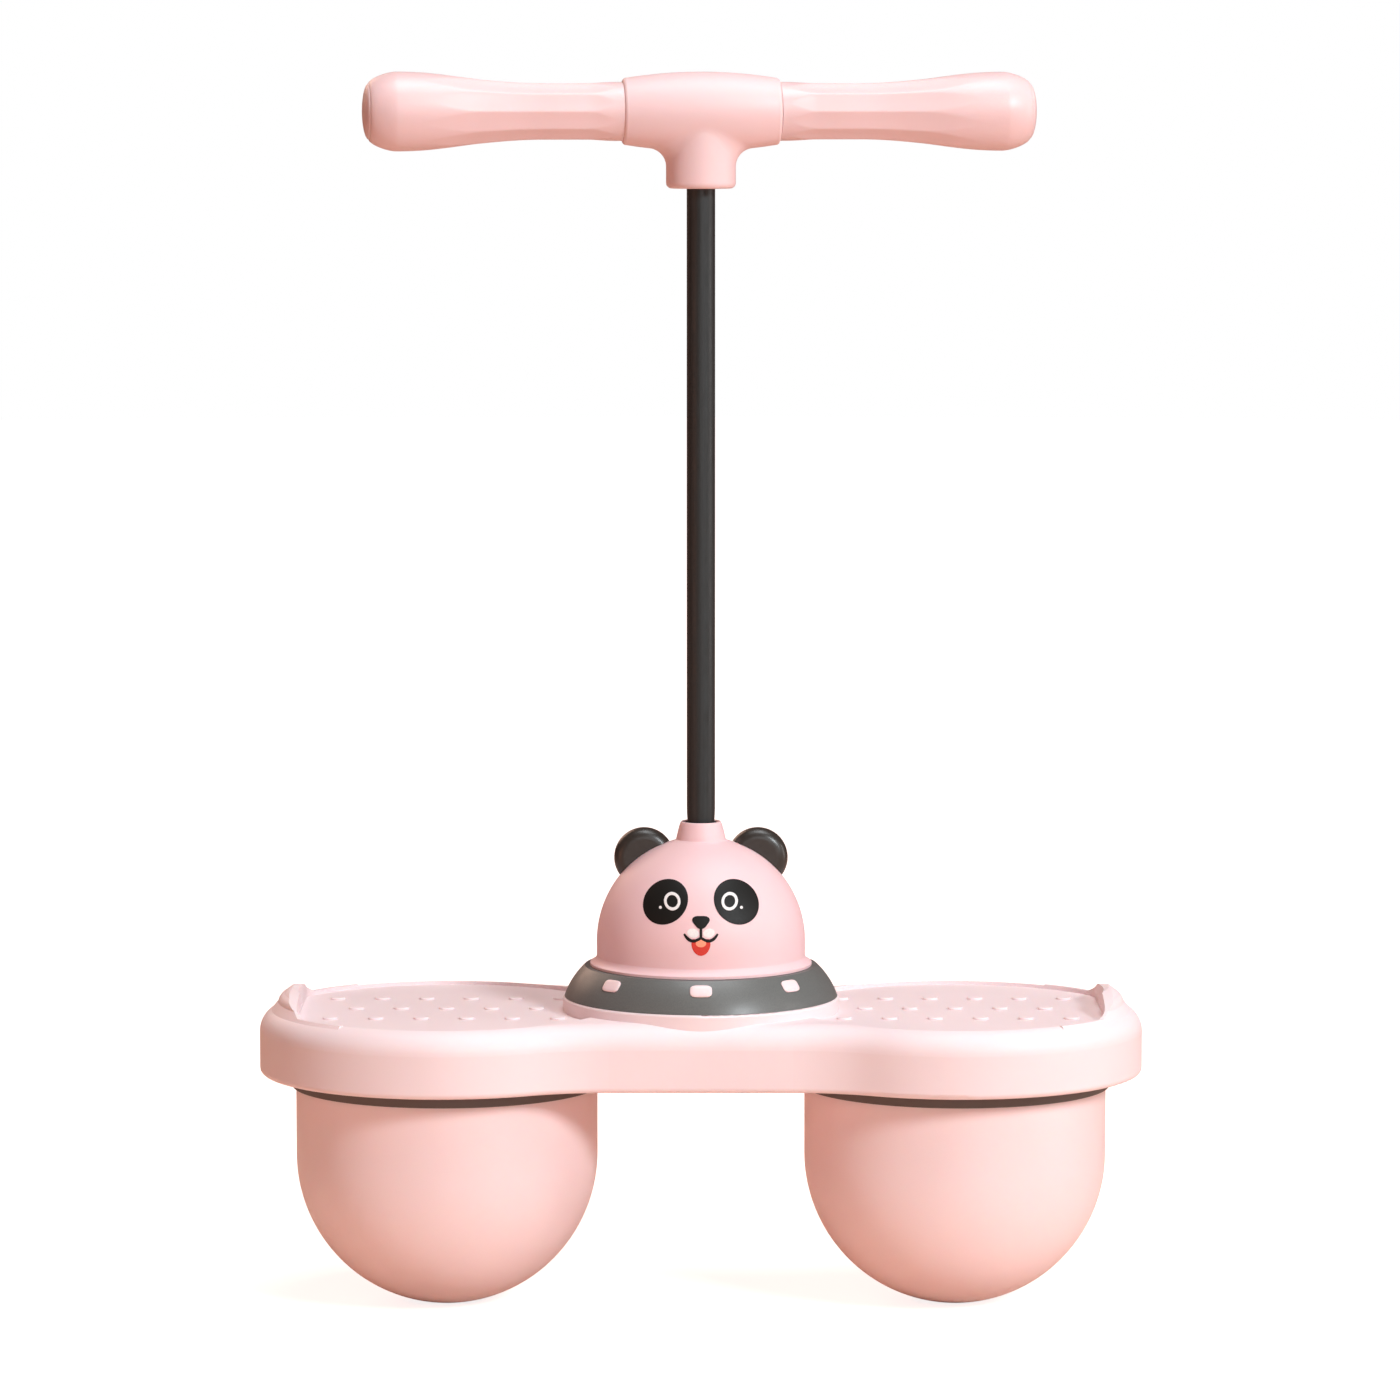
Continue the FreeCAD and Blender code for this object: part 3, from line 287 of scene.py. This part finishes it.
def plated_steel(name):
    """Zinc-plated steel with a brushed grain."""
    shader = Shader(name, (0.55, 0.55, 0.57), 0.32)
    grain = shader.noise(1500.0, 4.0, 0.6, (1.0, 0.05, 1.0))
    shader.tint(shader.spread(grain, 0.0, 1.0), (0.48, 0.48, 0.50), (0.62, 0.62, 0.63))
    shader.roughen(shader.spread(grain, 0.26, 0.42))
    shader.bump((grain, 0.00002))
    shader.set(Metallic=1.0)
    return shader.material


def printed_ink(name, color, roughness=0.5):
    """Pad-printed ink: nearly even, with the dot-fine unevenness of a print."""
    shader = Shader(name, color, roughness)
    mottle = shader.noise(900.0, 3.0, 0.6)
    shader.tint(shader.spread(mottle, 0.0, 1.0), shade(color, 0.93), shade(color, 1.05))
    shader.roughen(shader.spread(mottle, roughness - 0.04, roughness + 0.08))
    shader.bump((shader.noise(1500.0, 2.0), 0.000004))
    shader.set(Specular_IOR_Level=0.25)
    return shader.material


# Painted light and shade: three copies of one pink plastic, lighter on the deck and darker on the dome and
# hub.
DECK = moulded_plastic("pink_deck_plastic", DECK_PINK_PAINTED_LIGHTER, 0.60)
DOME = moulded_plastic("pink_dome_plastic", DOME_PINK_PAINTED_DARKER, 0.50)
HUB = moulded_plastic("pink_hub_plastic", HUB_PINK_PAINTED_DARKER, 0.48)
TRAY = grey_plastic("pink_tray_plastic", (0.80, 0.46, 0.43), 0.55)
BALL = soft_rubber("pink_ball_rubber", BALL_PINK, 0.42)
GRIP = soft_rubber("pink_grip_elastomer", GRIP_PINK, 0.40, 0.00004, 1800.0, 0.12)
GASKET = soft_rubber("dark_gasket_rubber", (0.105, 0.092, 0.083), 0.6, under=0.0)
RING = grey_plastic("grey_ring_plastic", (0.120, 0.127, 0.120), 0.42)
EAR = gloss_dark("dark_ear_plastic", (0.026, 0.023, 0.019), 0.34)
WINDOW = moulded_plastic("pale_window_plastic", (0.86, 0.66, 0.66), 0.34)
CORD = stretch_cord("black_cord_rubber", (0.0118, 0.0168, 0.0170), 0.45)
CLAMP = grey_plastic("grey_clamp_plastic", (0.32, 0.32, 0.32), 0.5)
STEEL = plated_steel("plated_steel")
BLACK_INK = printed_ink("black_ink", (0.006, 0.006, 0.005))
WHITE_INK = printed_ink("white_ink", (0.80, 0.78, 0.76))
RED_INK = printed_ink("red_ink", (0.62, 0.045, 0.03))
# A painted highlight: the lighter orange stands in for the light's reflection on the tongue.
PAINTED_HIGHLIGHT_ORANGE = printed_ink("orange_ink", (0.95, 0.33, 0.20))

for name, node in nodes.items():
    node.data.materials.clear()
    finish = DECK
    if "screws" in name or "washer" in name or "ferrule" in name or name == "handle_tube":
        finish = STEEL
    elif name.startswith("ball_collar"):
        finish = GASKET
    elif name.startswith("ball_clamp"):
        finish = CLAMP
    elif name.startswith("ball_"):
        finish = BALL
    elif name.startswith("ear_"):
        finish = EAR
    elif name.startswith("grip"):
        finish = GRIP
    elif name in ("elastic_cord", "neck_grommet"):
        finish = CORD
    elif name == "saucer_ring":
        finish = RING
    elif name == "ring_windows":
        finish = WINDOW
    elif name == "deck_base":
        finish = TRAY
    elif name in ("dome", "neck_bush"):
        finish = DOME
    elif name == "t_hub":
        finish = HUB
    node.data.materials.append(finish)


# ---------------------------------------------------------------- mesh helpers


def arc(centre, radius, start, end, steps):
    """Points (radius, height) along an arc about (0, centre), angles in degrees up from the horizontal."""
    points = []
    for step in range(steps + 1):
        turn = math.radians(start + (end - start) * step / steps)
        points.append((radius * math.cos(turn), centre + radius * math.sin(turn)))
    return points


def spaced(start, end, steps):
    """Evenly spaced values from start to end, both included."""
    return [start + (end - start) * step / steps for step in range(steps + 1)]


def ease(value, start, end):
    """0 before start, 1 after end, and smooth between."""
    share = min(1.0, max(0.0, (value - start) / (end - start)))
    return share * share * (3 - 2 * share)


def circle_ring(radius, height, around):
    turns = [2 * math.pi * step / around for step in range(around)]
    return [Vector((radius * math.cos(turn), radius * math.sin(turn), height)) for turn in turns]


def skin(name, rings, finish, place=None, loop=False):
    """A closed mesh through rings of points. Its ends are fanned shut, or joined when loop is true."""
    around = len(rings[0])
    count = len(rings)
    mesh = bmesh.new()
    rows = [[mesh.verts.new(point) for point in ring] for ring in rings]
    for low in range(count if loop else count - 1):
        first, second = rows[low], rows[(low + 1) % count]
        for step in range(around):
            after = (step + 1) % around
            mesh.faces.new((first[step], first[after], second[after], second[step]))
    if not loop:
        for row, ring in ((rows[0], rings[0]), (rows[-1], rings[-1])):
            hub = mesh.verts.new(sum(ring, Vector()) / around)
            for step in range(around):
                mesh.faces.new((row[step], row[(step + 1) % around], hub))
    bmesh.ops.recalc_face_normals(mesh, faces=mesh.faces)
    data = bpy.data.meshes.new(name)
    mesh.to_mesh(data)
    mesh.free()
    if place is not None:
        data.transform(place)
    data.materials.append(finish)
    data.shade_smooth()
    data.set_sharp_from_angle(angle=SHARP_EDGE)
    piece = bpy.data.objects.new(name, data)
    bpy.context.scene.collection.objects.link(piece)
    return piece


def lathe(name, profile, finish, around, place=None, loop=False):
    """A closed mesh of revolution about Z through (radius, height) points."""
    rings = [circle_ring(radius, height, around) for radius, height in profile]
    return skin(name, rings, finish, place, loop)


# ---------------------------------------------------------------- balls, valves and the cord


def ball_profile():
    """A flat foot, a half sphere, a straight wall and the clamped flange, from the floor up."""
    foot_turn = math.degrees(math.acos(FOOT_R / BALL_R))
    centre = (BALL_R**2 - FOOT_R**2) ** 0.5
    profile = [(FOOT_R * share, 0.0) for share in (0.35, 0.7)]
    profile += arc(centre, BALL_R, -foot_turn, 0.0, 40)
    profile += [(BALL_R, height) for height in spaced(centre, BALL_WALL_TOP, 8)[1:]]
    profile += [(FLANGE_R, BALL_WALL_TOP), (FLANGE_R, BALL_TOP)]
    return profile


def make_ball(side):
    place = Matrix.Translation((SIDES[side] * BALL_X, 0, 0))
    ball = lathe(f"rubber_ball_{side}", ball_profile(), BALL, 128, place)
    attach(ball, "deck")
    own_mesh(ball)
    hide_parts(f"ball_{side}")


def make_valve(side):
    """The inflation plug: a button with a rounded rim and a small well in its middle."""
    well = VALVE_WELL_R
    profile = [(VALVE_R, VALVE_SUNK), (VALVE_R, VALVE_SHOULDER)]
    for radius, height in arc(VALVE_SHOULDER, VALVE_RIM, 0, 90, 6)[1:]:
        profile.append((VALVE_R - VALVE_RIM + radius, height))
    profile += [(well + 0.4 * MM, VALVE_TOP), (well, VALVE_TOP - 0.2 * MM), (well - 0.3 * MM, -0.5 * MM)]
    centre = Vector((SIDES[side] * BALL_X, 0, (BALL_R**2 - FOOT_R**2) ** 0.5))
    aim = Matrix.Rotation(-(math.pi / 2 + VALVE_TILT), 4, "X")
    place = Matrix.Translation(centre) @ aim @ Matrix.Translation((0, 0, BALL_R))
    valve = lathe(f"ball_plug_{side}", profile, BALL, 48, place)
    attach(valve, "deck")
    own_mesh(valve)
    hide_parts(f"ball_valve_{side}")


def make_cord():
    """The stretch cord: a part held in the deck, and the part above the lean pivot."""
    rows = arc(PIVOT_Z, CORD_NECK_R, -84, 0, 12)
    for height in spaced(PIVOT_Z, CORD_HIGH, 120)[1:]:
        swell = ease(height, PIVOT_Z + CORD_SWELL_START, PIVOT_Z + CORD_SWELL_END)
        rows.append((CORD_NECK_R + (CORD_R - CORD_NECK_R) * swell, height))
    upper = lathe("stretch_cord", rows, CORD, 48)
    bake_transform(upper)
    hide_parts("elastic_cord")
    root_top = PIVOT_Z - CORD_NECK_R - CORD_ROOT_GAP
    rows = [(CORD_R, height) for height in spaced(CORD_LOW, root_top, 24)]
    lower = lathe("stretch_cord_root", rows, CORD, 48)
    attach(lower, "deck")


def make_neck_bead():
    """The rubber bead that the cord turns on: a band of a ball round the cord, centred on the lean axes."""
    bore = CORD_NECK_R + BEAD_GAP
    band = math.degrees(math.asin(BEAD_HALF / BEAD_R))
    profile = [(bore, PIVOT_Z - BEAD_HALF)] + arc(PIVOT_Z, BEAD_R, -band, band, 8)
    bead = lathe("swivel_bead", profile + [(bore, PIVOT_Z + BEAD_HALF)], CORD, 64, loop=True)
    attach(bead, "cord")
    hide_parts("neck_grommet")


def dome_height(radius):
    return DOME_Z + (DOME_R**2 - radius**2) ** 0.5


def make_neck_bush():
    """The bush on the dome's crown: a soft foot, a belled side, and a flared mouth that clears the cord."""
    top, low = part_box("neck_bush")[1].z, dome_height(BUSH_FOOT_R) + 0.5 * MM
    profile = []
    for grow, rise in BUSH_SKIRT:
        radius = BUSH_FOOT_R + grow * MM
        profile.append((radius, dome_height(radius) + rise * MM))
    for share in spaced(0.0, 0.985, 20):
        bell = (BUSH_FOOT_R - BUSH_LIP_R) * (1 - share) ** 0.75
        profile.append((BUSH_LIP_R + bell, low + (top - low) * share))
    profile += [(BUSH_LIP_R - BUSH_LIP_ROUND, top), (BUSH_MOUTH_R + BUSH_LIP_ROUND, top)]
    profile += [(BUSH_MOUTH_R, top - 0.2 * MM)]
    profile += [(BUSH_BORE_R, BUSH_BORE_TOP), (BUSH_BORE_R, BUSH_BORE_BOTTOM)]
    bush = lathe("cord_bush", profile, DOME, 96, loop=True)
    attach(bush, "deck")
    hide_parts("neck_bush")


def squared(value):
    """Pull a sine or cosine outwards, so that an oval gets the soft corners of a window."""
    return math.copysign(abs(value) ** WINDOW_SQUARE, value)


def make_windows():
    """Six soft-cornered lenses in the ring, three in front and three behind."""
    for number, turn in enumerate(WINDOW_TURNS):
        rings = []
        for share, lift in WINDOW_CROWN:
            ring = []
            for step in range(WINDOW_STEPS):
                way = 2 * math.pi * step / WINDOW_STEPS
                wide = squared(math.cos(way)) * WINDOW_WIDE / 2
                tall = squared(math.sin(way)) * WINDOW_TALL / 2
                ring.append(Vector((wide * share, tall * share, lift * MM)))
            rings.append(ring)
        place = Matrix.Rotation(math.radians(turn), 4, "Z") @ Matrix.Translation((0, -WINDOW_R, WINDOW_Z))
        lens = skin(f"ring_window_{number}", rings, WINDOW, place @ Matrix.Rotation(WINDOW_LEAN, 4, "X"))
        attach(lens, "deck")
        if number == 0:
            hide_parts("ring_windows")


# ---------------------------------------------------------------- grips


def grip_radius(x):
    """A straight waist that swells to the bulb and rounds over at the open end."""
    if x <= GRIP_PEAK:
        return GRIP_WAIST_R + (GRIP_BULB_R - GRIP_WAIST_R) * ease(x, GRIP_WAIST_END, GRIP_PEAK)
    share = min(1.0, (x - GRIP_PEAK) / (GRIP_END - GRIP_PEAK))
    rest = (1 - share**GRIP_END_POWER) ** (1 / GRIP_END_POWER)
    return GRIP_MOUTH_R + (GRIP_BULB_R - GRIP_MOUTH_R) * rest


def flute_depth(x, turn):
    """Scalloped flutes with crisp ridges between them and pointed ends."""
    fade = ease(x, *FLUTE_IN) * (1 - ease(x, *FLUTE_OUT))
    return FLUTE_DEEP * max(0.0, abs(math.cos(FLUTES * turn / 2)) - 1 + fade)


def make_grip(side):
    around = STEPS_IN_A_FLUTE * FLUTES
    lengths = spaced(GRIP_START, GRIP_PEAK, 90)
    end_turns = spaced(0.0, math.pi / 2, 24)[1:]
    lengths += [GRIP_PEAK + (GRIP_END - GRIP_PEAK) * math.sin(turn) for turn in end_turns]
    rings = []
    for x in lengths:
        ring = []
        for step in range(around):
            turn = 2 * math.pi * step / around
            radius = grip_radius(x) - flute_depth(x, turn)
            ring.append(Vector((SIDES[side] * x, radius * math.sin(turn), radius * math.cos(turn))))
        rings.append(ring)
    place = Matrix.Translation((0, 0, HUB_Z)) @ Matrix.Rotation(HANDLE_TURN, 4, "Z")
    grip = skin(f"soft_grip_{side}", rings, GRIP, place)
    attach(grip, "handle")
    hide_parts(f"grip_{side}")


def make_grip_cap(side):
    """The end plug: a low dome with a soft rim, seated in the grip's mouth."""
    rim = GRIP_MOUTH_R - CAP_GAP
    profile = [(rim - CAP_RIM_ROUND, GRIP_END - 3 * MM), (rim, GRIP_END - 1.5 * MM)]
    for turn in spaced(0.0, 0.48 * math.pi, 16):
        profile.append((rim * math.cos(turn), GRIP_END - 0.2 * MM + GRIP_CROWN * math.sin(turn)))
    turn = Matrix.Rotation(HANDLE_TURN, 4, "Z") @ Matrix.Rotation(SIDES[side] * math.pi / 2, 4, "Y")
    cap = lathe(f"grip_end_{side}", profile, GRIP, 96, Matrix.Translation((0, 0, HUB_Z)) @ turn)
    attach(cap, "handle")
    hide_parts(f"grip_cap_{side}")


# ---------------------------------------------------------------- the printed face


# The marks' middles and sizes, in mm across and up from the face's middle, and their leans in degrees.
PATCH_AT, PATCH_SIZE, PATCH_LEAN = (19.0, 20.6), (26.0, 22.8), -48
IRIS_AT, IRIS_SIZE, IRIS_LEAN, IRIS_HOLE = (15.4, 20.9), (8.8, 10.0), -12, 0.70
SPARK_AT, SPARK_SIZE = (21.7, 17.6), (1.6, 1.6)
CHEEK_AT, CHEEK_SIZE, CHEEK_LEAN = (4.3, 3.8), (6.2, 4.8), 14
NOSE_AT, NOSE_SIZE, NOSE_SHARP = (0, 9.9), (9.0, 7.0), 0.12
LIP_TOP, LIP_BOTTOM, LIP_WIDE = 7.0, 1.2, 1.5 * MM
TONGUE_AT, TONGUE_SIZE = (0, -2.6), (10.6, 11.6)
TONGUE_TOP, TONGUE_TAPER = 0.6 * MM, 60 * MM
# The tongue's painted highlight: a lighter orange oval that stands in for the light's reflection.
TONGUE_HIGHLIGHT_AT, TONGUE_HIGHLIGHT_SIZE = (0, -1.7), (5.6, 4.2)
MOUTH_HALF, MOUTH_WIDE, MOUTH_DIP, MOUTH_CURL = 9.0 * MM, 1.7 * MM, 7.02, 2.2


def on_dome(across, up, lift):
    """A point of the face, in metres across and up from its middle, lift above the dome's surface."""
    radius = DOME_R + lift
    depth = (radius**2 - across**2 - up**2) ** 0.5
    up_axis = Vector((0, math.sin(FACE_TILT), math.cos(FACE_TILT)))
    out_axis = Vector((0, -math.cos(FACE_TILT), math.sin(FACE_TILT)))
    return Vector((across, 0, DOME_Z)) + up * up_axis + depth * out_axis


def oval(centre, size_mm, way=1, lean=0.0, corners=0, sharp=0.0, steps=64):
    """An oval outline (across, up) in metres, from mm. It can lean, and bulge towards even corners.

    With a way of -1 the oval is mirrored to the face's left."""
    wide, tall = size_mm[0] * MM, size_mm[1] * MM
    centre_x, centre_y = way * centre[0] * MM, centre[1] * MM
    lean = way * math.radians(lean)
    points = []
    for step in range(steps):
        turn = 2 * math.pi * step / steps
        bulge = 1 + sharp * math.cos(corners * (turn + math.pi / 2))
        x, y = wide / 2 * bulge * math.cos(turn), tall / 2 * bulge * math.sin(turn)
        across = centre_x + x * math.cos(lean) - y * math.sin(lean)
        points.append((across, centre_y + x * math.sin(lean) + y * math.cos(lean)))
    return points


def on_face(piece):
    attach(piece, "deck")
    return piece


def print_patch(name, outline, finish, lift, inner=0.0):
    """Ink inside an outline, or a ring of it when inner is more than 0, with its rim sunk in the dome."""
    middle_x = sum(point[0] for point in outline) / len(outline)
    middle_y = sum(point[1] for point in outline) / len(outline)

    def ring(share, height):
        spots = []
        for x, y in outline:
            across = middle_x + (x - middle_x) * share
            up = middle_y + (y - middle_y) * share
            spots.append(on_dome(across, up, height))
        return spots

    shares = spaced(max(inner, 0.08), 0.97, 8)
    rings = [ring(share, lift) for share in shares] + [ring(1.0, lift * 0.6), ring(1.0, INK_ROOT)]
    if inner:
        rings = [ring(inner - 0.03, INK_ROOT), ring(inner - 0.03, lift * 0.6)] + rings
    return on_face(skin(name, rings, finish, loop=inner > 0))


def print_stroke(name, path, width, finish, lift):
    """A line of ink with rounded ends along a path of (across, up) points."""
    sections = []
    last = len(path) - 1
    for index, (x, y) in enumerate(path):
        before, after = path[max(0, index - 1)], path[min(last, index + 1)]
        run_x, run_y = after[0] - before[0], after[1] - before[1]
        length = math.hypot(run_x, run_y)
        side_x, side_y = -run_y / length, run_x / length
        from_end = min(index, last - index) / last * 6
        half = width / 2 * min(1.0, 0.35 + from_end) ** 0.5
        edge = lift * 0.7
        spots = [(-half, INK_ROOT), (-half, edge), (0.0, lift), (half, edge), (half, INK_ROOT)]
        section = [on_dome(x + side_x * reach, y + side_y * reach, height) for reach, height in spots]
        sections.append(section)
    return on_face(skin(name, sections, finish))


def make_eye(side):
    way = SIDES[side]
    patch = oval(PATCH_AT, PATCH_SIZE, way, PATCH_LEAN)
    print_patch(f"eye_patch_{side}", patch, BLACK_INK, 0.10 * MM)
    iris = oval(IRIS_AT, IRIS_SIZE, way, IRIS_LEAN)
    print_patch(f"eye_ring_{side}", iris, WHITE_INK, 0.20 * MM, inner=IRIS_HOLE)
    spark = oval(SPARK_AT, SPARK_SIZE, way, steps=24)
    print_patch(f"eye_spark_{side}", spark, WHITE_INK, 0.20 * MM)


def make_muzzle():
    for side, way in SIDES.items():
        cheek = oval(CHEEK_AT, CHEEK_SIZE, way, CHEEK_LEAN)
        print_patch(f"muzzle_{side}", cheek, WHITE_INK, 0.07 * MM)
    nose = oval(NOSE_AT, NOSE_SIZE, corners=3, sharp=NOSE_SHARP)
    print_patch("nose", nose, BLACK_INK, 0.18 * MM)
    lip = [(0, up * MM) for up in spaced(LIP_TOP, LIP_BOTTOM, 12)]
    print_stroke("nose_line", lip, LIP_WIDE, BLACK_INK, 0.16 * MM)
    tongue = []
    for x, y in oval(TONGUE_AT, TONGUE_SIZE):
        tongue.append((x * (1 + y / TONGUE_TAPER), min(y, TONGUE_TOP)))
    print_patch("tongue", tongue, RED_INK, 0.10 * MM)
    # A painted highlight on the tongue: a lighter orange oval that stands in for the light's reflection.
    glow = oval(TONGUE_HIGHLIGHT_AT, TONGUE_HIGHLIGHT_SIZE)
    print_patch("tongue_glow", glow, PAINTED_HIGHLIGHT_ORANGE, 0.15 * MM)
    mouth = []
    for share in spaced(-1.0, 1.0, 48):
        reach = abs(share)
        up = LIP_BOTTOM - MOUTH_DIP * reach * (1 - reach) + MOUTH_CURL * reach**4
        mouth.append((share * MOUTH_HALF, up * MM))
    print_stroke("mouth_line", mouth, MOUTH_WIDE, BLACK_INK, 0.20 * MM)


for side in SIDES:
    make_ball(side)
    make_valve(side)
    make_grip(side)
    make_grip_cap(side)
    make_eye(side)
make_cord()
make_neck_bead()
make_neck_bush()
make_windows()
make_muzzle()

# ---------------------------------------------------------------- stage, lights, camera


LENS, SENSOR = 157.48, 36.0
CAMERA_PLACE, CAMERA_AIM = (-0.0005, -3.300, 0.6587), (-0.0005, 0.0, 0.3287)
FILL_COLOR, FILL_STRENGTH = (1.0, 0.42, 0.33), 0.155
WHITE = (1.0, 1.0, 1.0)
FLOOR_R, FLOOR_DROP = 9.0, 0.3 * MM
PAPER_NEAR, PAPER_FAR = (0.85, 0.58, 0.46), (0.50, 0.29, 0.22)
# Each light's name, place, aim, width, height, watts and colour.
LIGHTS = (
    ("key", (3.1, -3.9, 2.9), (0.0, 0.0, 0.3), 1.1, 1.1, 221.0, (0.88, 0.955, 1.0)),
    ("top", (0.5, -0.6, 5.0), (0.0, 0.0, 0.2), 2.6, 2.6, 166.0, (0.92, 0.97, 1.0)),
    ("front", (0.5, -4.6, 1.1), (0.0, 0.0, 0.3), 1.8, 1.8, 27.0, (0.92, 0.97, 1.0)),
    ("bounce", (-2.0, -1.5, 0.3), (0.0, 0.0, 0.2), 1.4, 0.6, 5.0, (1.0, 0.44, 0.28)),
    ("side", (2.5, -0.3, 0.7), (0.0, 0.0, 0.35), 0.3, 1.3, 13.0, (1.0, 0.95, 0.94)),
    ("back", (-2.4, 3.6, 2.4), (0.0, 0.0, 0.3), 2.4, 2.4, 56.0, (1.0, 0.68, 0.52)),
)


def look_at(thing, target):
    thing.rotation_euler = (Vector(target) - thing.location).to_track_quat("-Z", "Y").to_euler()


def add_camera():
    camera = bpy.data.cameras.new("camera")
    camera.lens = LENS
    camera.sensor_width = SENSOR
    holder = bpy.data.objects.new("camera", camera)
    holder.location = CAMERA_PLACE
    look_at(holder, CAMERA_AIM)
    bpy.context.scene.collection.objects.link(holder)
    bpy.context.scene.camera = holder


def add_light(name, place, target, width, height, watts, color):
    lamp = bpy.data.lights.new(name, "AREA")
    lamp.shape = "RECTANGLE"
    lamp.size = width
    lamp.size_y = height
    lamp.energy = watts
    lamp.color = color
    holder = bpy.data.objects.new(name, lamp)
    holder.location = place
    look_at(holder, target)
    bpy.context.scene.collection.objects.link(holder)


def add_world():
    """A warm, low fill all round, which the camera sees as plain white."""
    world = bpy.data.worlds.new("studio")
    world.use_nodes = True
    tree = world.node_tree
    fill = tree.nodes["Background"]
    fill.inputs["Color"].default_value = (*FILL_COLOR, 1.0)
    fill.inputs["Strength"].default_value = FILL_STRENGTH
    white = tree.nodes.new("ShaderNodeBackground")
    white.inputs["Color"].default_value = (*WHITE, 1.0)
    mix = tree.nodes.new("ShaderNodeMixShader")
    path = tree.nodes.new("ShaderNodeLightPath")
    tree.links.new(path.outputs["Is Camera Ray"], mix.inputs[0])
    tree.links.new(fill.outputs[0], mix.inputs[1])
    tree.links.new(white.outputs[0], mix.inputs[2])
    tree.links.new(mix.outputs[0], tree.nodes["World Output"].inputs[0])
    bpy.context.scene.world = world


def add_floor():
    """A wide disc of pale paper. From below it is clear, so that the underside can be looked at."""
    mesh = bpy.data.meshes.new("floor")
    mesh.from_pydata(circle_ring(FLOOR_R, -FLOOR_DROP, 64), [], [list(range(64))])
    floor = bpy.data.objects.new("floor", mesh)
    shader = Shader("floor_paper", PAPER_NEAR, 0.9)
    shader.bump((shader.noise(300.0, 2.0), 0.0001))
    shader.set(Emission_Color=(*WHITE, 1.0))
    far = shader.node("ShaderNodeVectorMath", operation="LENGTH")
    shader.link(shader.coords, far.inputs[0])
    glow = shader.node("ShaderNodeMath", operation="MULTIPLY")
    shader.link(shader.spread(far.outputs["Value"], 0.82, 1.0, 0.3, 1.5), glow.inputs[0])
    shader.tint(shader.spread(far.outputs["Value"], 0.0, 1.0, 0.3, 1.2), PAPER_NEAR, PAPER_FAR)
    shader.link(shader.node("ShaderNodeLightPath").outputs["Is Camera Ray"], glow.inputs[1])
    shader.link(glow.outputs[0], shader.bsdf.inputs["Emission Strength"])
    clear = shader.node("ShaderNodeBsdfTransparent")
    mix = shader.node("ShaderNodeMixShader")
    shader.link(shader.node("ShaderNodeNewGeometry").outputs["Backfacing"], mix.inputs[0])
    shader.link(shader.bsdf.outputs[0], mix.inputs[1])
    shader.link(clear.outputs[0], mix.inputs[2])
    shader.link(mix.outputs[0], shader.out.inputs["Surface"])
    mesh.materials.append(shader.material)
    bpy.context.scene.collection.objects.link(floor)


bpy.context.scene.view_settings.view_transform = "Standard"
add_camera()
add_world()
add_floor()
for light in LIGHTS:
    add_light(*light)
